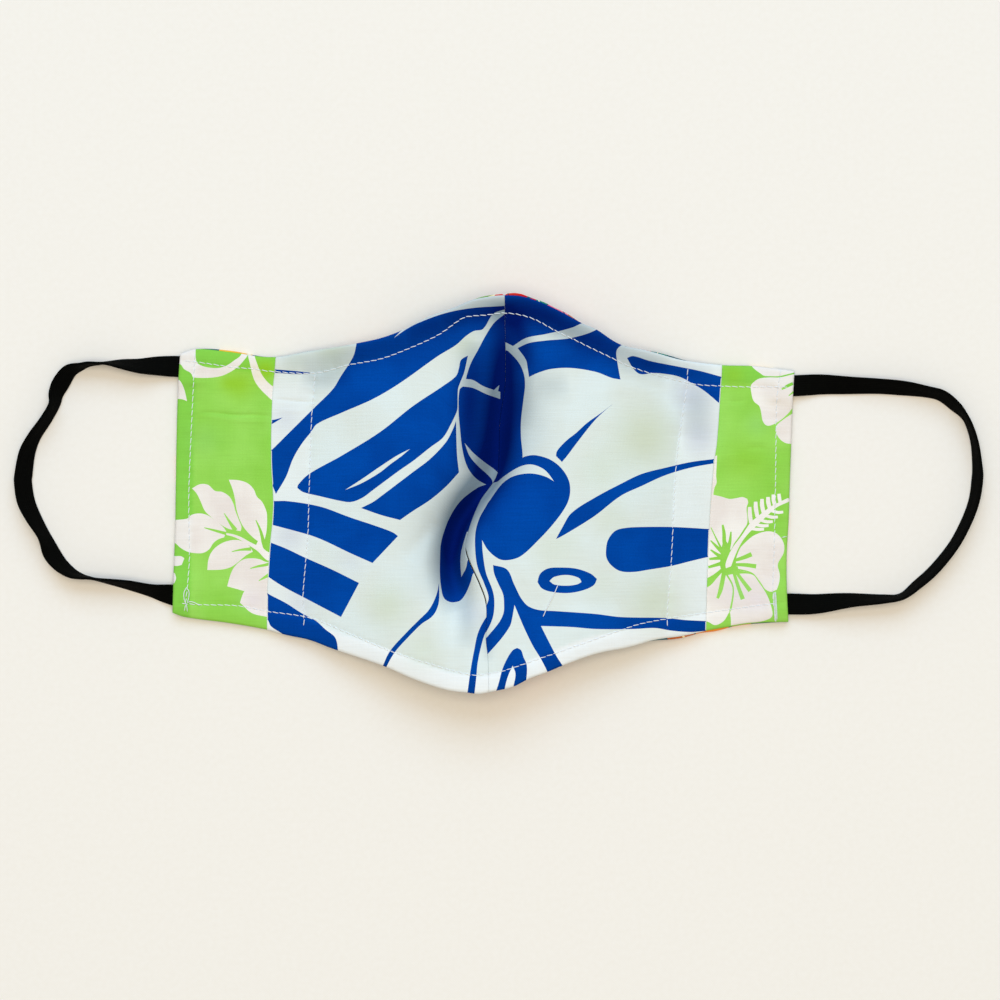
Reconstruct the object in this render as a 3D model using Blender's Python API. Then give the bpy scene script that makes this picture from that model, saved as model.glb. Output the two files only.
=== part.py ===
"""Contoured cloth face mask with two elastic ear loops, lying with its inner side up.

Two outer panels and two lining panels meet at a curved centre seam. A side band finishes each
end, and a flat elastic is sewn between band and outer panel at each corner. +X runs from one
side of the mask to the other, +Y from the chin edge to the nose edge, and +Z up.
All lengths are in metres.
"""

import math
from bisect import bisect_right
from collections import namedtuple

import bpy
import numpy as np

# The mask's own sizes
MASK_WIDTH = 0.188
MASK_HEIGHT = 0.119
SHOULDER_RISE = 0.0125
GUTTER_WIDTH = 0.012
LEFT_BAND_WIDTH = 0.0287
RIGHT_BAND_WIDTH = 0.0242

# Cloth and elastic
OUTER_THICKNESS = 0.0010
LINING_THICKNESS = 0.0010
BAND_THICKNESS = 0.0010
ELASTIC_WIDTH = 0.0064
ELASTIC_THICKNESS = 0.0010
LAYER_GAP = 0.0003

# How far each loop reaches from the mask, and how its ends are sewn in
LEFT_LOOP_REACH = 0.0462
RIGHT_LOOP_REACH = 0.0563
ELASTIC_TUCK = 0.0055
NOSE_END_INSET = 0.0009
CHIN_END_INSET = 0.0026
TUCK_MARGIN = 0.0007
TUCK_FALL = 0.0030
SETTLE_LENGTH = 0.010

# Fineness of the mesh
SLOPE_STEP = 0.0014
MOST_STRETCH = 2.4
STRAP_STATIONS = 52
STRAP_CHAMFER = 0.25
GUTTER_COLUMNS = 8
WALL_COLUMNS = 3
SHOULDER_COLUMNS = 6
WALL_REACH = 0.75
LEAST_GUTTER = 0.45

# A section across the mask. across is a share of half the mask's width. The edges are shares
# of half its height, and the lifts are shares of the shoulder rise.
Section = namedtuple("Section", "across nose_edge chin_edge nose_lift middle_lift chin_lift")
SECTIONS = [
    Section(-1.000, 0.695, -0.600, 0.00, 0.00, 0.00),
    Section(-0.817, 0.710, -0.645, 0.00, 0.00, 0.00),
    Section(-0.690, 0.690, -0.680, 0.00, 0.00, 0.00),
    Section(-0.560, 0.715, -0.730, 0.14, 0.20, 0.14),
    Section(-0.408, 0.753, -0.808, 0.45, 0.58, 0.46),
    Section(-0.264, 0.820, -0.895, 0.78, 0.88, 0.80),
    Section(-0.140, 0.907, -0.970, 0.98, 0.98, 0.98),
    Section(0.000, 0.985, -1.000, 1.06, 0.94, 1.08),
    Section(0.068, 0.996, -0.978, 1.08, 0.92, 1.06),
    Section(0.148, 0.980, -0.925, 1.06, 0.96, 1.00),
    Section(0.251, 0.910, -0.863, 0.96, 1.00, 0.90),
    Section(0.360, 0.825, -0.800, 0.80, 0.92, 0.76),
    Section(0.437, 0.752, -0.775, 0.64, 0.78, 0.60),
    Section(0.534, 0.715, -0.735, 0.38, 0.52, 0.38),
    Section(0.640, 0.672, -0.710, 0.12, 0.20, 0.13),
    Section(0.728, 0.650, -0.683, 0.00, 0.00, 0.00),
    Section(0.878, 0.640, -0.645, 0.00, 0.00, 0.00),
    Section(1.000, 0.613, -0.640, 0.00, 0.00, 0.00),
]

# A station of the centre seam and of the gutter that the cup folds into beside it. rise runs
# from the chin edge to the nose edge. across is a share of half the mask's width. off_seam and
# the widths at half depth are shares of the gutter width, and depth is a share of the lift.
Station = namedtuple("Station", "rise across off_seam depth left_half right_half sharpness")
STATIONS = [
    Station(0.000, 0.019, 0.55, 0.00, 0.50, 0.40, 2.4),
    Station(0.072, 0.013, 0.55, 0.00, 0.50, 0.40, 2.4),
    Station(0.135, 0.007, 0.58, 0.03, 0.50, 0.40, 2.6),
    Station(0.185, 0.006, 0.60, 0.16, 0.45, 0.38, 2.8),
    Station(0.230, 0.003, 0.62, 0.52, 0.40, 0.34, 3.0),
    Station(0.278, -0.019, 0.56, 0.86, 0.36, 0.31, 3.0),
    Station(0.335, -0.051, 0.38, 0.98, 0.35, 0.28, 3.0),
    Station(0.373, -0.058, 0.26, 1.00, 0.38, 0.27, 2.9),
    Station(0.423, -0.048, 0.18, 1.00, 0.44, 0.28, 2.7),
    Station(0.478, -0.013, 0.08, 1.00, 0.50, 0.30, 2.4),
    Station(0.525, 0.026, 0.02, 1.00, 0.52, 0.33, 2.2),
    Station(0.560, 0.042, 0.00, 0.97, 0.52, 0.36, 2.1),
    Station(0.660, 0.052, 0.00, 0.86, 0.50, 0.37, 2.0),
    Station(0.773, 0.064, 0.00, 0.58, 0.47, 0.36, 2.0),
    Station(0.885, 0.068, 0.00, 0.24, 0.42, 0.36, 2.0),
    Station(0.955, 0.068, 0.00, 0.08, 0.40, 0.36, 2.0),
    Station(1.000, 0.068, 0.00, 0.02, 0.40, 0.36, 2.0),
]

# A shallow dent along a straight line. Its ends are shares of half the mask's width and half
# its height, its depth is a share of the lift and its half width a share of the gutter width.
Dent = namedtuple("Dent", "across_from up_from across_to up_to depth half_width")
DENTS = [
    Dent(-0.150, -0.08, -0.290, -0.42, 0.09, 0.34),
    Dent(-0.135, -0.60, -0.150, -0.95, 0.07, 0.40),
    Dent(-0.045, -0.72, -0.055, -1.00, 0.05, 0.30),
    Dent(0.140, 0.34, 0.235, 0.10, 0.10, 0.42),
    Dent(-0.115, 0.78, -0.140, 0.46, 0.08, 0.40),
    Dent(0.115, -0.52, 0.200, -0.86, 0.05, 0.36),
    Dent(0.330, 0.62, 0.420, 0.20, 0.05, 0.50),
]

# Where each side edge of the mask stands at its nose corner, waist and chin corner, as shares
# of half the mask's width.
SIDE_EDGES = {
    "left": (-0.978, -0.988, -1.000),
    "right": (1.000, 0.984, 0.982),
}

# A point of an ear loop. reach is a share of the loop's reach, drop runs from its nose end to
# its chin end, and roll turns the strap about its own line, in degrees.
Bend = namedtuple("Bend", "reach drop roll")
LEFT_LOOP = [
    Bend(0.10, 0.000, 8),
    Bend(0.235, -0.004, 45),
    Bend(0.36, -0.012, 66),
    Bend(0.515, -0.014, 90),
    Bend(0.62, -0.001, 104),
    Bend(0.70, 0.022, 124),
    Bend(0.755, 0.070, 136),
    Bend(0.79, 0.120, 123),
    Bend(0.805, 0.170, 110),
    Bend(0.855, 0.237, 111),
    Bend(0.93, 0.310, 117),
    Bend(0.975, 0.380, 129),
    Bend(1.00, 0.490, 137),
    Bend(0.982, 0.592, 135),
    Bend(0.93, 0.665, 125),
    Bend(0.865, 0.745, 115),
    Bend(0.815, 0.818, 134),
    Bend(0.76, 0.869, 127),
    Bend(0.69, 0.906, 112),
    Bend(0.57, 0.930, 90),
    Bend(0.45, 0.943, 76),
    Bend(0.30, 0.960, 62),
    Bend(0.14, 0.985, 40),
    Bend(0.05, 0.998, 12),
]
RIGHT_LOOP = [
    Bend(0.08, -0.003, 8),
    Bend(0.17, -0.005, 26),
    Bend(0.32, -0.002, 44),
    Bend(0.47, 0.002, 52),
    Bend(0.605, 0.011, 57),
    Bend(0.73, 0.028, 66),
    Bend(0.815, 0.048, 68),
    Bend(0.885, 0.094, 74),
    Bend(0.935, 0.143, 83),
    Bend(0.965, 0.195, 84),
    Bend(0.988, 0.268, 81),
    Bend(1.00, 0.364, 75),
    Bend(0.998, 0.424, 72),
    Bend(0.98, 0.522, 72),
    Bend(0.94, 0.618, 73),
    Bend(0.87, 0.730, 73),
    Bend(0.77, 0.840, 72),
    Bend(0.675, 0.914, 74),
    Bend(0.595, 0.965, 78),
    Bend(0.50, 0.978, 70),
    Bend(0.32, 0.984, 56),
    Bend(0.14, 1.000, 30),
    Bend(0.05, 1.002, 8),
]

# Runs of the panels' rows: from one share of the rise to the next in so many steps.
ROW_RUNS = [(0.00, 0.16, 3), (0.16, 0.46, 12), (0.46, 1.00, 9)]
BAND_INNER_COLUMNS = 2
BAND_MIDDLE_ROWS = 4


def clear_scene():
    for scene_object in list(bpy.data.objects):
        bpy.data.objects.remove(scene_object)


def grid_lines(runs):
    """Lines from the first run's start to the last run's end."""
    lines = [runs[0][0]]
    for start, end, steps in runs:
        lines += [start + (end - start) * (i + 1) / steps for i in range(steps)]
    return lines


def ease(share):
    share = min(max(share, 0.0), 1.0)
    return share * share * (3.0 - 2.0 * share)


def mix(first, second, share):
    return first + (second - first) * share


def smooth(table, column):
    """Smooth function through a table's column over its first column, with no overshoot."""
    keys = [row[0] for row in table]
    values = [getattr(row, column) for row in table]
    steps = [after - before for before, after in zip(keys, keys[1:])]
    slopes = [(values[k + 1] - values[k]) / step for k, step in enumerate(steps)]
    tangents = [slopes[0]]
    for before, after in zip(slopes, slopes[1:]):
        turns = before * after <= 0
        tangents.append(0.0 if turns else 2 * before * after / (before + after))
    tangents.append(slopes[-1])

    def value(at):
        at = min(max(at, keys[0]), keys[-1])
        i = min(max(bisect_right(keys, at) - 1, 0), len(steps) - 1)
        t = (at - keys[i]) / steps[i]
        ends = values[i] * (1 + 2 * t) * (1 - t) ** 2 + values[i + 1] * t * t * (3 - 2 * t)
        return ends + steps[i] * t * (1 - t) * (tangents[i] * (1 - t) - tangents[i + 1] * t)

    return value


SECTION = {column: smooth(SECTIONS, column) for column in Section._fields[1:]}
STATION = {column: smooth(STATIONS, column) for column in Station._fields[1:]}


def nose_edge(x):
    return SECTION["nose_edge"](x / (MASK_WIDTH / 2)) * MASK_HEIGHT / 2


def chin_edge(x):
    return SECTION["chin_edge"](x / (MASK_WIDTH / 2)) * MASK_HEIGHT / 2


def seam_x(rise):
    return STATION["across"](rise) * MASK_WIDTH / 2


def side_x(side, rise):
    nose, waist, chin = SIDE_EDGES[side]
    bow = waist - (nose + chin) / 2
    return (mix(chin, nose, rise) + bow * 4 * rise * (1 - rise)) * MASK_WIDTH / 2


def hem_x(side, rise):
    """Where the lining ends and the side band begins."""
    inward = LEFT_BAND_WIDTH if side == "left" else -RIGHT_BAND_WIDTH
    return side_x(side, rise) + inward


def lift(x, y):
    """How far the cloth stands above its lowest level before the cup folds in."""
    share = (y - chin_edge(x)) / (nose_edge(x) - chin_edge(x))
    share = min(max(share, 0.0), 1.0)
    across = x / (MASK_WIDTH / 2)
    nose = SECTION["nose_lift"](across)
    middle = SECTION["middle_lift"](across)
    chin = SECTION["chin_lift"](across)
    bowed = 4 * share * (1 - share)
    return SHOULDER_RISE * (mix(chin, nose, share) + (middle - (chin + nose) / 2) * bowed)


def gutter(x, y):
    """Share of the lift that the gutter beside the centre seam takes away."""
    rise = (y / (MASK_HEIGHT / 2) + 1) / 2
    centre = seam_x(rise) - STATION["off_seam"](rise) * GUTTER_WIDTH
    half = STATION["left_half" if x < centre else "right_half"](rise) * GUTTER_WIDTH
    return STATION["depth"](rise) / (1 + (abs(x - centre) / half) ** STATION["sharpness"](rise))


def dents(x, y):
    """Share of the lift that the shallow dents take away."""
    total = 0.0
    for dent in DENTS:
        start_x, start_y = dent.across_from * MASK_WIDTH / 2, dent.up_from * MASK_HEIGHT / 2
        run_x = dent.across_to * MASK_WIDTH / 2 - start_x
        run_y = dent.up_to * MASK_HEIGHT / 2 - start_y
        along = ((x - start_x) * run_x + (y - start_y) * run_y) / (run_x**2 + run_y**2)
        along = min(max(along, 0.0), 1.0)
        distance = math.hypot(x - start_x - run_x * along, y - start_y - run_y * along)
        total += dent.depth * math.exp(-((distance / (dent.half_width * GUTTER_WIDTH)) ** 2))
    return total


def cloth_stack():
    return OUTER_THICKNESS + LAYER_GAP + LINING_THICKNESS


def inner_height(x, y):
    """Height of the lining's face over the surface that the mask lies on."""
    return cloth_stack() + lift(x, y) * (1 - gutter(x, y)) * (1 - dents(x, y))


def level(x, y, depth):
    """Height of the level that lies depth under the lining's face, square to the cloth."""
    height = inner_height(x, y)
    east = inner_height(x + SLOPE_STEP, y) - inner_height(x - SLOPE_STEP, y)
    north = inner_height(x, y + SLOPE_STEP) - inner_height(x, y - SLOPE_STEP)
    slope = math.hypot(east, north) / (2 * SLOPE_STEP)
    stretch = min(math.sqrt(1 + slope * slope), MOST_STRETCH, height / cloth_stack())
    return height - depth * stretch


def columns_from_seam(side, rise):
    """Shares of the way from the seam to the hem. The first ones follow the gutter."""
    off, half = STATION["off_seam"](rise), STATION[f"{side}_half"](rise)
    gutter_edge = max(half + off if side == "left" else half - off, LEAST_GUTTER) * GUTTER_WIDTH
    wall_edge = gutter_edge + WALL_REACH * GUTTER_WIDTH
    width = abs(hem_x(side, rise) - seam_x(rise))
    return grid_lines(
        [
            (0.0, gutter_edge / width, GUTTER_COLUMNS),
            (gutter_edge / width, wall_edge / width, WALL_COLUMNS),
            (wall_edge / width, 1.0, SHOULDER_COLUMNS),
        ]
    )


def plan_line(rise, start, end, shares):
    """Plan points of one row of a grid, at shares of the way from start to end."""
    across = [mix(start, end, share) for share in shares]
    return [(x, mix(chin_edge(x), nose_edge(x), rise)) for x in across]


def panel_plan(side, hem_clearance):
    """Plan points from the centre seam to a clearance before the hem, row by row."""
    sign = -1 if side == "left" else 1
    plan = []
    for rise in grid_lines(ROW_RUNS):
        start = seam_x(rise) + sign * LAYER_GAP / 2
        end = hem_x(side, rise) - sign * hem_clearance
        plan.append(plan_line(rise, start, end, columns_from_seam(side, rise)))
    return plan


def colour(name, rgb, roughness):
    material = bpy.data.materials.new(name)
    material.use_nodes = True
    shader = material.node_tree.nodes["Principled BSDF"]
    shader.inputs["Base Color"].default_value = (*rgb, 1.0)
    shader.inputs["Roughness"].default_value = roughness
    shader.inputs["Metallic"].default_value = 0.0
    material.diffuse_color = (*rgb, 1.0)
    return material


def splits_ahead(a, b, c, d):
    """Whether the flatter cut of a cell of the cloth runs from its first to its third corner."""
    a, b, c, d = ((x, y, inner_height(x, y)) for x, y, z in (a, b, c, d))
    return math.dist(a, c) <= math.dist(b, d)


def closed_sheet(name, upper, lower, material):
    """Solid between two grids of points that have the same rows and columns."""
    rows, columns = len(upper), len(upper[0])
    points = [point for line in upper + lower for point in line]
    under = rows * columns
    faces = []
    for j in range(rows - 1):
        for i in range(columns - 1):
            a = j * columns + i
            b, c, d = a + 1, a + columns + 1, a + columns
            ahead = splits_ahead(*(points[k] for k in (a, b, c, d)))
            for p, q, r in ((a, b, c), (a, c, d)) if ahead else ((a, b, d), (b, c, d)):
                faces += [(p, q, r), (p + under, r + under, q + under)]
    rim = list(range(columns))
    rim += [j * columns + columns - 1 for j in range(1, rows)]
    rim += [(rows - 1) * columns + i for i in range(columns - 2, -1, -1)]
    rim += [j * columns for j in range(rows - 2, 0, -1)]
    for first, second in zip(rim, rim[1:] + rim[:1]):
        faces += [(first + under, second + under, second), (first + under, second, first)]
    return add_solid(name, points, faces, material)


def add_solid(name, points, faces, material):
    mesh = bpy.data.meshes.new(name)
    mesh.from_pydata([tuple(point) for point in points], [], faces)
    mesh.validate()
    mesh.materials.append(material)
    if sum(mesh_volume_terms(mesh)) < 0:
        mesh.flip_normals()
    solid = bpy.data.objects.new(name, mesh)
    bpy.context.scene.collection.objects.link(solid)
    return solid


def mesh_volume_terms(mesh):
    mesh.calc_loop_triangles()
    for triangle in mesh.loop_triangles:
        a, b, c = (mesh.vertices[i].co for i in triangle.vertices)
        yield a.dot(b.cross(c)) / 6


def add_lining(side, material):
    plan = panel_plan(side, LAYER_GAP / 2)
    upper = [[(x, y, inner_height(x, y)) for x, y in line] for line in plan]
    lower = [[(x, y, level(x, y, LINING_THICKNESS)) for x, y in line] for line in plan]
    return closed_sheet(f"lining_{side}", upper, lower, material)


def add_outer(side, material):
    """The panel runs on under the side band, and lies flat where it meets the surface."""
    plan = panel_plan(side, 0.0)
    for line, rise in zip(plan, grid_lines(ROW_RUNS)):
        line += plan_line(rise, hem_x(side, rise), side_x(side, rise), [0.5, 1.0])
    top, bottom = LINING_THICKNESS + LAYER_GAP, cloth_stack()
    upper = [[(x, y, level(x, y, top)) for x, y in line] for line in plan]
    lower = [[(x, y, max(level(x, y, bottom), 0.0)) for x, y in line] for line in plan]
    return closed_sheet(f"outer_{side}", upper, lower, material)


def elastic_end_y(side, end):
    """Where the middle of a sewn-in elastic end crosses the side edge."""
    if end == "nose":
        x = side_x(side, 1.0)
        return nose_edge(x) - NOSE_END_INSET - ELASTIC_WIDTH / 2
    x = side_x(side, 0.0)
    return chin_edge(x) + CHIN_END_INSET + ELASTIC_WIDTH / 2


def tuck_bulge(side, x, y):
    """How far the side band stands up over the elastic ends sewn in under it."""
    rise = (y - chin_edge(x)) / (nose_edge(x) - chin_edge(x))
    inward = abs(side_x(side, rise) - x)
    along = 1 - ease((inward - ELASTIC_TUCK - TUCK_MARGIN) / TUCK_FALL)
    half = ELASTIC_WIDTH / 2 + TUCK_MARGIN
    sideways = max(
        1 - ease((abs(y - elastic_end_y(side, end)) - half) / TUCK_FALL)
        for end in ("nose", "chin")
    )
    return (ELASTIC_THICKNESS + LAYER_GAP) * along * sideways


def band_rows(side):
    """Shares from the chin edge to the nose edge, with lines beside each elastic end."""
    x = side_x(side, 0.5)
    low, high = chin_edge(x), nose_edge(x)
    half = ELASTIC_WIDTH / 2 + TUCK_MARGIN
    lines = {0.0, 1.0}
    for end in ("nose", "chin"):
        middle = elastic_end_y(side, end)
        for away in (-half - TUCK_FALL, -half, half, half + TUCK_FALL):
            share = (middle + away - low) / (high - low)
            if 0.01 < share < 0.99:
                lines.add(share)
    lower = (elastic_end_y(side, "chin") + half + TUCK_FALL - low) / (high - low)
    upper = (elastic_end_y(side, "nose") - half - TUCK_FALL - low) / (high - low)
    for i in range(1, BAND_MIDDLE_ROWS + 1):
        lines.add(mix(lower, upper, i / (BAND_MIDDLE_ROWS + 1)))
    return sorted(lines)


def add_band(side, material):
    width = LEFT_BAND_WIDTH if side == "left" else RIGHT_BAND_WIDTH
    fall_end = 1 - (ELASTIC_TUCK + TUCK_MARGIN + TUCK_FALL) / width
    fall_start = 1 - (ELASTIC_TUCK + TUCK_MARGIN) / width
    columns = [LAYER_GAP / 2 / width]
    columns += [fall_end * (i + 1) / BAND_INNER_COLUMNS for i in range(BAND_INNER_COLUMNS)]
    columns += [fall_start, 1.0]
    lower = []
    for rise in band_rows(side):
        line = plan_line(rise, hem_x(side, rise), side_x(side, rise), columns)
        lower.append([(x, y, level(x, y, LINING_THICKNESS) + tuck_bulge(side, x, y)) for x, y in line])
    upper = [[(x, y, z + BAND_THICKNESS) for x, y, z in line] for line in lower]
    return closed_sheet(f"side_band_{side}", upper, lower, material)


def resting_height(roll):
    """Height of the strap's middle when its lower edge touches the surface."""
    across = ELASTIC_WIDTH / 2 * abs(math.sin(roll))
    return across + ELASTIC_THICKNESS / 2 * abs(math.cos(roll))


def loop_route(side):
    """Points (x, y, z, roll) of one elastic, from its nose end to its chin end."""
    sign = -1 if side == "left" else 1
    reach = LEFT_LOOP_REACH if side == "left" else RIGHT_LOOP_REACH
    bends = LEFT_LOOP if side == "left" else RIGHT_LOOP
    nose_y, chin_y = elastic_end_y(side, "nose"), elastic_end_y(side, "chin")
    nose_x, chin_x = side_x(side, 1.0), side_x(side, 0.0)
    entry = OUTER_THICKNESS + LAYER_GAP + ELASTIC_THICKNESS / 2
    route = [(nose_x - sign * ELASTIC_TUCK, nose_y, entry, 0.0), (nose_x, nose_y, entry, 0.0)]
    for bend in bends:
        x = mix(nose_x, chin_x, bend.drop) + sign * reach * bend.reach
        y = mix(nose_y, chin_y, bend.drop)
        roll = math.radians(bend.roll)
        settled = ease(reach * bend.reach / SETTLE_LENGTH)
        height = max(mix(entry, resting_height(roll), settled), resting_height(roll))
        route.append((x, y, height, roll))
    route += [(chin_x, chin_y, entry, 0.0), (chin_x - sign * ELASTIC_TUCK, chin_y, entry, 0.0)]
    return np.array(route)


def smooth_route(route, stations):
    """Evenly spaced points on a smooth curve through the route's points."""
    fine = []
    padded = np.vstack([route[0], route, route[-1]])
    for k in range(1, len(padded) - 2):
        before, start, end, after = padded[k - 1 : k + 3]
        for t in np.linspace(0, 1, 12, endpoint=False):
            fine.append(
                0.5
                * (
                    2 * start
                    + (end - before) * t
                    + (2 * before - 5 * start + 4 * end - after) * t**2
                    + (3 * start - before - 3 * end + after) * t**3
                )
            )
    fine = np.array(fine + [route[-1]])
    steps = np.linalg.norm(np.diff(fine[:, :3], axis=0), axis=1)
    length = np.concatenate([[0.0], np.cumsum(steps)])
    even = np.linspace(0, length[-1], stations)
    return np.stack([np.interp(even, length, fine[:, k]) for k in range(4)], axis=1)


def strap_outline():
    """Cross-section of the flat elastic with its long edges taken off."""
    w, t = ELASTIC_WIDTH / 2, ELASTIC_THICKNESS / 2
    cut = ELASTIC_THICKNESS * STRAP_CHAMFER
    upper = [(w, t - cut), (w - cut, t), (cut - w, t), (-w, t - cut)]
    return upper + [(u, -v) for u, v in reversed(upper)]


def add_ear_loop(side, material):
    route = smooth_route(loop_route(side), STRAP_STATIONS)
    outline = strap_outline()
    points = []
    for k, (x, y, z, roll) in enumerate(route):
        ahead = route[min(k + 1, len(route) - 1), :3] - route[max(k - 1, 0), :3]
        ahead /= np.linalg.norm(ahead)
        level_way = np.cross([0.0, 0.0, 1.0], ahead)
        level_way /= np.linalg.norm(level_way)
        up_way = np.cross(ahead, level_way)
        width_way = level_way * math.cos(roll) + up_way * math.sin(roll)
        face_way = np.cross(ahead, width_way)
        middle = np.array([x, y, z])
        points += [middle + width_way * u + face_way * v for u, v in outline]
    sides = len(outline)
    faces = []
    for k in range(len(route) - 1):
        for i in range(sides):
            a, b = k * sides + i, k * sides + (i + 1) % sides
            faces += [(a, b, b + sides), (a, b + sides, a + sides)]
    last = (len(route) - 1) * sides
    faces += [(0, i + 1, i) for i in range(1, sides - 1)]
    faces += [(last, last + i, last + i + 1) for i in range(1, sides - 1)]
    strap = add_solid(f"ear_loop_{side}", points, faces, material)
    for vertex in strap.data.vertices:
        vertex.co.z = max(vertex.co.z, 0.0)
    return strap


def stand_on_origin(solids):
    """Moves everything so that the whole mask stands centred over the origin, on Z = 0."""
    corners = np.array([vertex.co for solid in solids for vertex in solid.data.vertices])
    low, high = corners.min(0), corners.max(0)
    shift = (-(low[0] + high[0]) / 2, -(low[1] + high[1]) / 2, -low[2])
    for solid in solids:
        for vertex in solid.data.vertices:
            vertex.co.x += shift[0]
            vertex.co.y += shift[1]
            vertex.co.z += shift[2]


def main():
    clear_scene()
    outer_print = colour("outer_print", (0.62, 0.10, 0.07), 0.85)
    leaf_print = colour("leaf_print", (0.45, 0.60, 0.78), 0.80)
    hibiscus_print = colour("hibiscus_print", (0.36, 0.68, 0.10), 0.80)
    black_elastic = colour("black_elastic", (0.006, 0.006, 0.006), 0.75)
    solids = []
    for side in ("left", "right"):
        solids.append(add_outer(side, outer_print))
        solids.append(add_lining(side, leaf_print))
        solids.append(add_band(side, hibiscus_print))
        solids.append(add_ear_loop(side, black_elastic))
    stand_on_origin(solids)


main()
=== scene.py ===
"""Cloth face mask lying with its inner side up, seen from straight above.

Every line on the cloth is drawn as it shows in the 1000 x 1000 photograph, in its pixels, and
on_floor() and on_cloth() turn it into metres. +X is right and +Y up in the photograph.
"""

import math

import bpy
import numpy as np
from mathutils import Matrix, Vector
from mathutils.bvhtree import BVHTree
from mathutils.geometry import delaunay_2d_cdt
from mathutils.kdtree import KDTree


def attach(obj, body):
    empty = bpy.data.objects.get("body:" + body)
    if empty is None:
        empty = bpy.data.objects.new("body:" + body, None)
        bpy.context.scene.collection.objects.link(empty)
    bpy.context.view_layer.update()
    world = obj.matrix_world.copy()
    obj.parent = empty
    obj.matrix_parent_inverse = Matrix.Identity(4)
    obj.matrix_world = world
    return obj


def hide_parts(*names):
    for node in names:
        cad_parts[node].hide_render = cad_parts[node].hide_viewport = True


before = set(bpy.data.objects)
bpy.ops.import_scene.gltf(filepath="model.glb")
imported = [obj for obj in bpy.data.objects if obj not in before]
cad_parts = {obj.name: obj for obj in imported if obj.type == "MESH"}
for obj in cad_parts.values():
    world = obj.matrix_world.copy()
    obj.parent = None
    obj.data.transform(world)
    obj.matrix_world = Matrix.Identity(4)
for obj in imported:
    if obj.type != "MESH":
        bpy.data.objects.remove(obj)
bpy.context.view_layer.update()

MM = 0.001

# The camera looks straight down at the mask from an arm's length. A pixel of the photograph is
# 0.302 mm on the surface that the mask lies on.
CAMERA_HEIGHT = 800 * MM
PIXEL = 0.302 * MM
PHOTO_WIDTH = 1000
PHOTO_CENTRE = np.array([0.48, -1.66]) * MM
SENSOR = 36.0

camera = bpy.data.cameras.new("camera")
camera.sensor_width = SENSOR
camera.lens = SENSOR * CAMERA_HEIGHT / (PIXEL * PHOTO_WIDTH)
camera_stand = bpy.data.objects.new("camera", camera)
camera_stand.location = (*PHOTO_CENTRE, CAMERA_HEIGHT)
bpy.context.scene.collection.objects.link(camera_stand)
bpy.context.scene.camera = camera_stand


def on_floor(pixels):
    """Where lines of sight through pixels of the photograph meet the floor."""
    offset = (np.asarray(pixels, float) - PHOTO_WIDTH / 2) * PIXEL
    return PHOTO_CENTRE + offset * (1, -1)


def at_height(places, heights):
    """Where the same lines of sight pass a height above the floor."""
    nearer = 1 - np.asarray(heights) / CAMERA_HEIGHT
    return PHOTO_CENTRE + (places - PHOTO_CENTRE) * nearer[:, None]


# The outer layer is what shows when the mask is worn. It is two panels of cotton in a bright
# print of blooms and leaves, joined at the curved centre seam. Here it lies underneath, and only
# its turned edge peeps out in places.
CLOTH_THICKNESS = 0.95 * MM
HALF_SEAM_GAP = 0.012 * MM
SLIT = 0.18 * MM
SLIT_REACH = 1.6 * MM
TURNED_EDGE = 0.80 * MM
SEAM_EDGE = 0.14 * MM
STITCH_PITCH = 2.1 * MM
STITCH_DIP = 0.26 * MM
STITCH_DIP_REACH = 0.62 * MM
STITCH_LEAST_DIP = 0.75
CUT_STEP = 0.55 * MM
CLOTH_GRID = 0.95 * MM
NEAR_SEAM_GRID = 0.60 * MM
NEAR_SEAM = 17 * MM
MAP_STEP = 0.5 * MM
MAP_MARGIN = 6 * MM
MAP_RIM = 1.001
FROM_ABOVE = 0.1
VALLEY_ROUNDING = 1.1 * MM
DOME_ROUNDING = 2.8 * MM
# The broad domes lie between these distances from the seam, each with the stretch it eases over
DOME_FROM_SEAM = [(14 * MM, 10 * MM), (48 * MM, 8 * MM)]
# The nose edge turns up a little, except where the bands hold the sides flat
NOSE_LIFT = 2.4 * MM
NOSE_LIFT_REACH = 9 * MM
NOSE_LIFT_SIDES = (38 * MM, 36 * MM)
MOST_STRETCH = 2.2

NOSE_EDGE = [
    (176, 355), (196, 349), (230, 352), (272, 357), (309, 351), (341, 346), (357, 343),
    (380, 338), (402, 330), (430, 316), (455, 307), (471, 300), (488, 296.5), (504, 295),
    (521, 296), (538, 301), (562, 312), (582, 323), (596, 329), (620, 344), (650, 351),
    (683, 360), (722, 365), (754, 366), (797, 371),
]
CHIN_EDGE = [
    (170, 612), (184, 617), (228, 623), (268, 630), (286, 635), (309, 640), (333, 649),
    (383, 666), (413, 679), (446, 690), (468, 693), (480, 694), (496, 691), (513, 687),
    (529, 679), (548, 672), (562, 666), (596, 654), (630, 647), (655, 640), (683, 636),
    (706, 631), (729, 627), (757, 623), (792, 622),
]
CENTRE_SEAM = [
    (504.5, 290), (505, 320), (505, 385), (500, 420), (498, 470), (494, 481), (479, 503),
    (466, 540), (467, 555), (480, 585), (486, 603), (486, 640), (488, 659), (489, 700),
]
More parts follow.
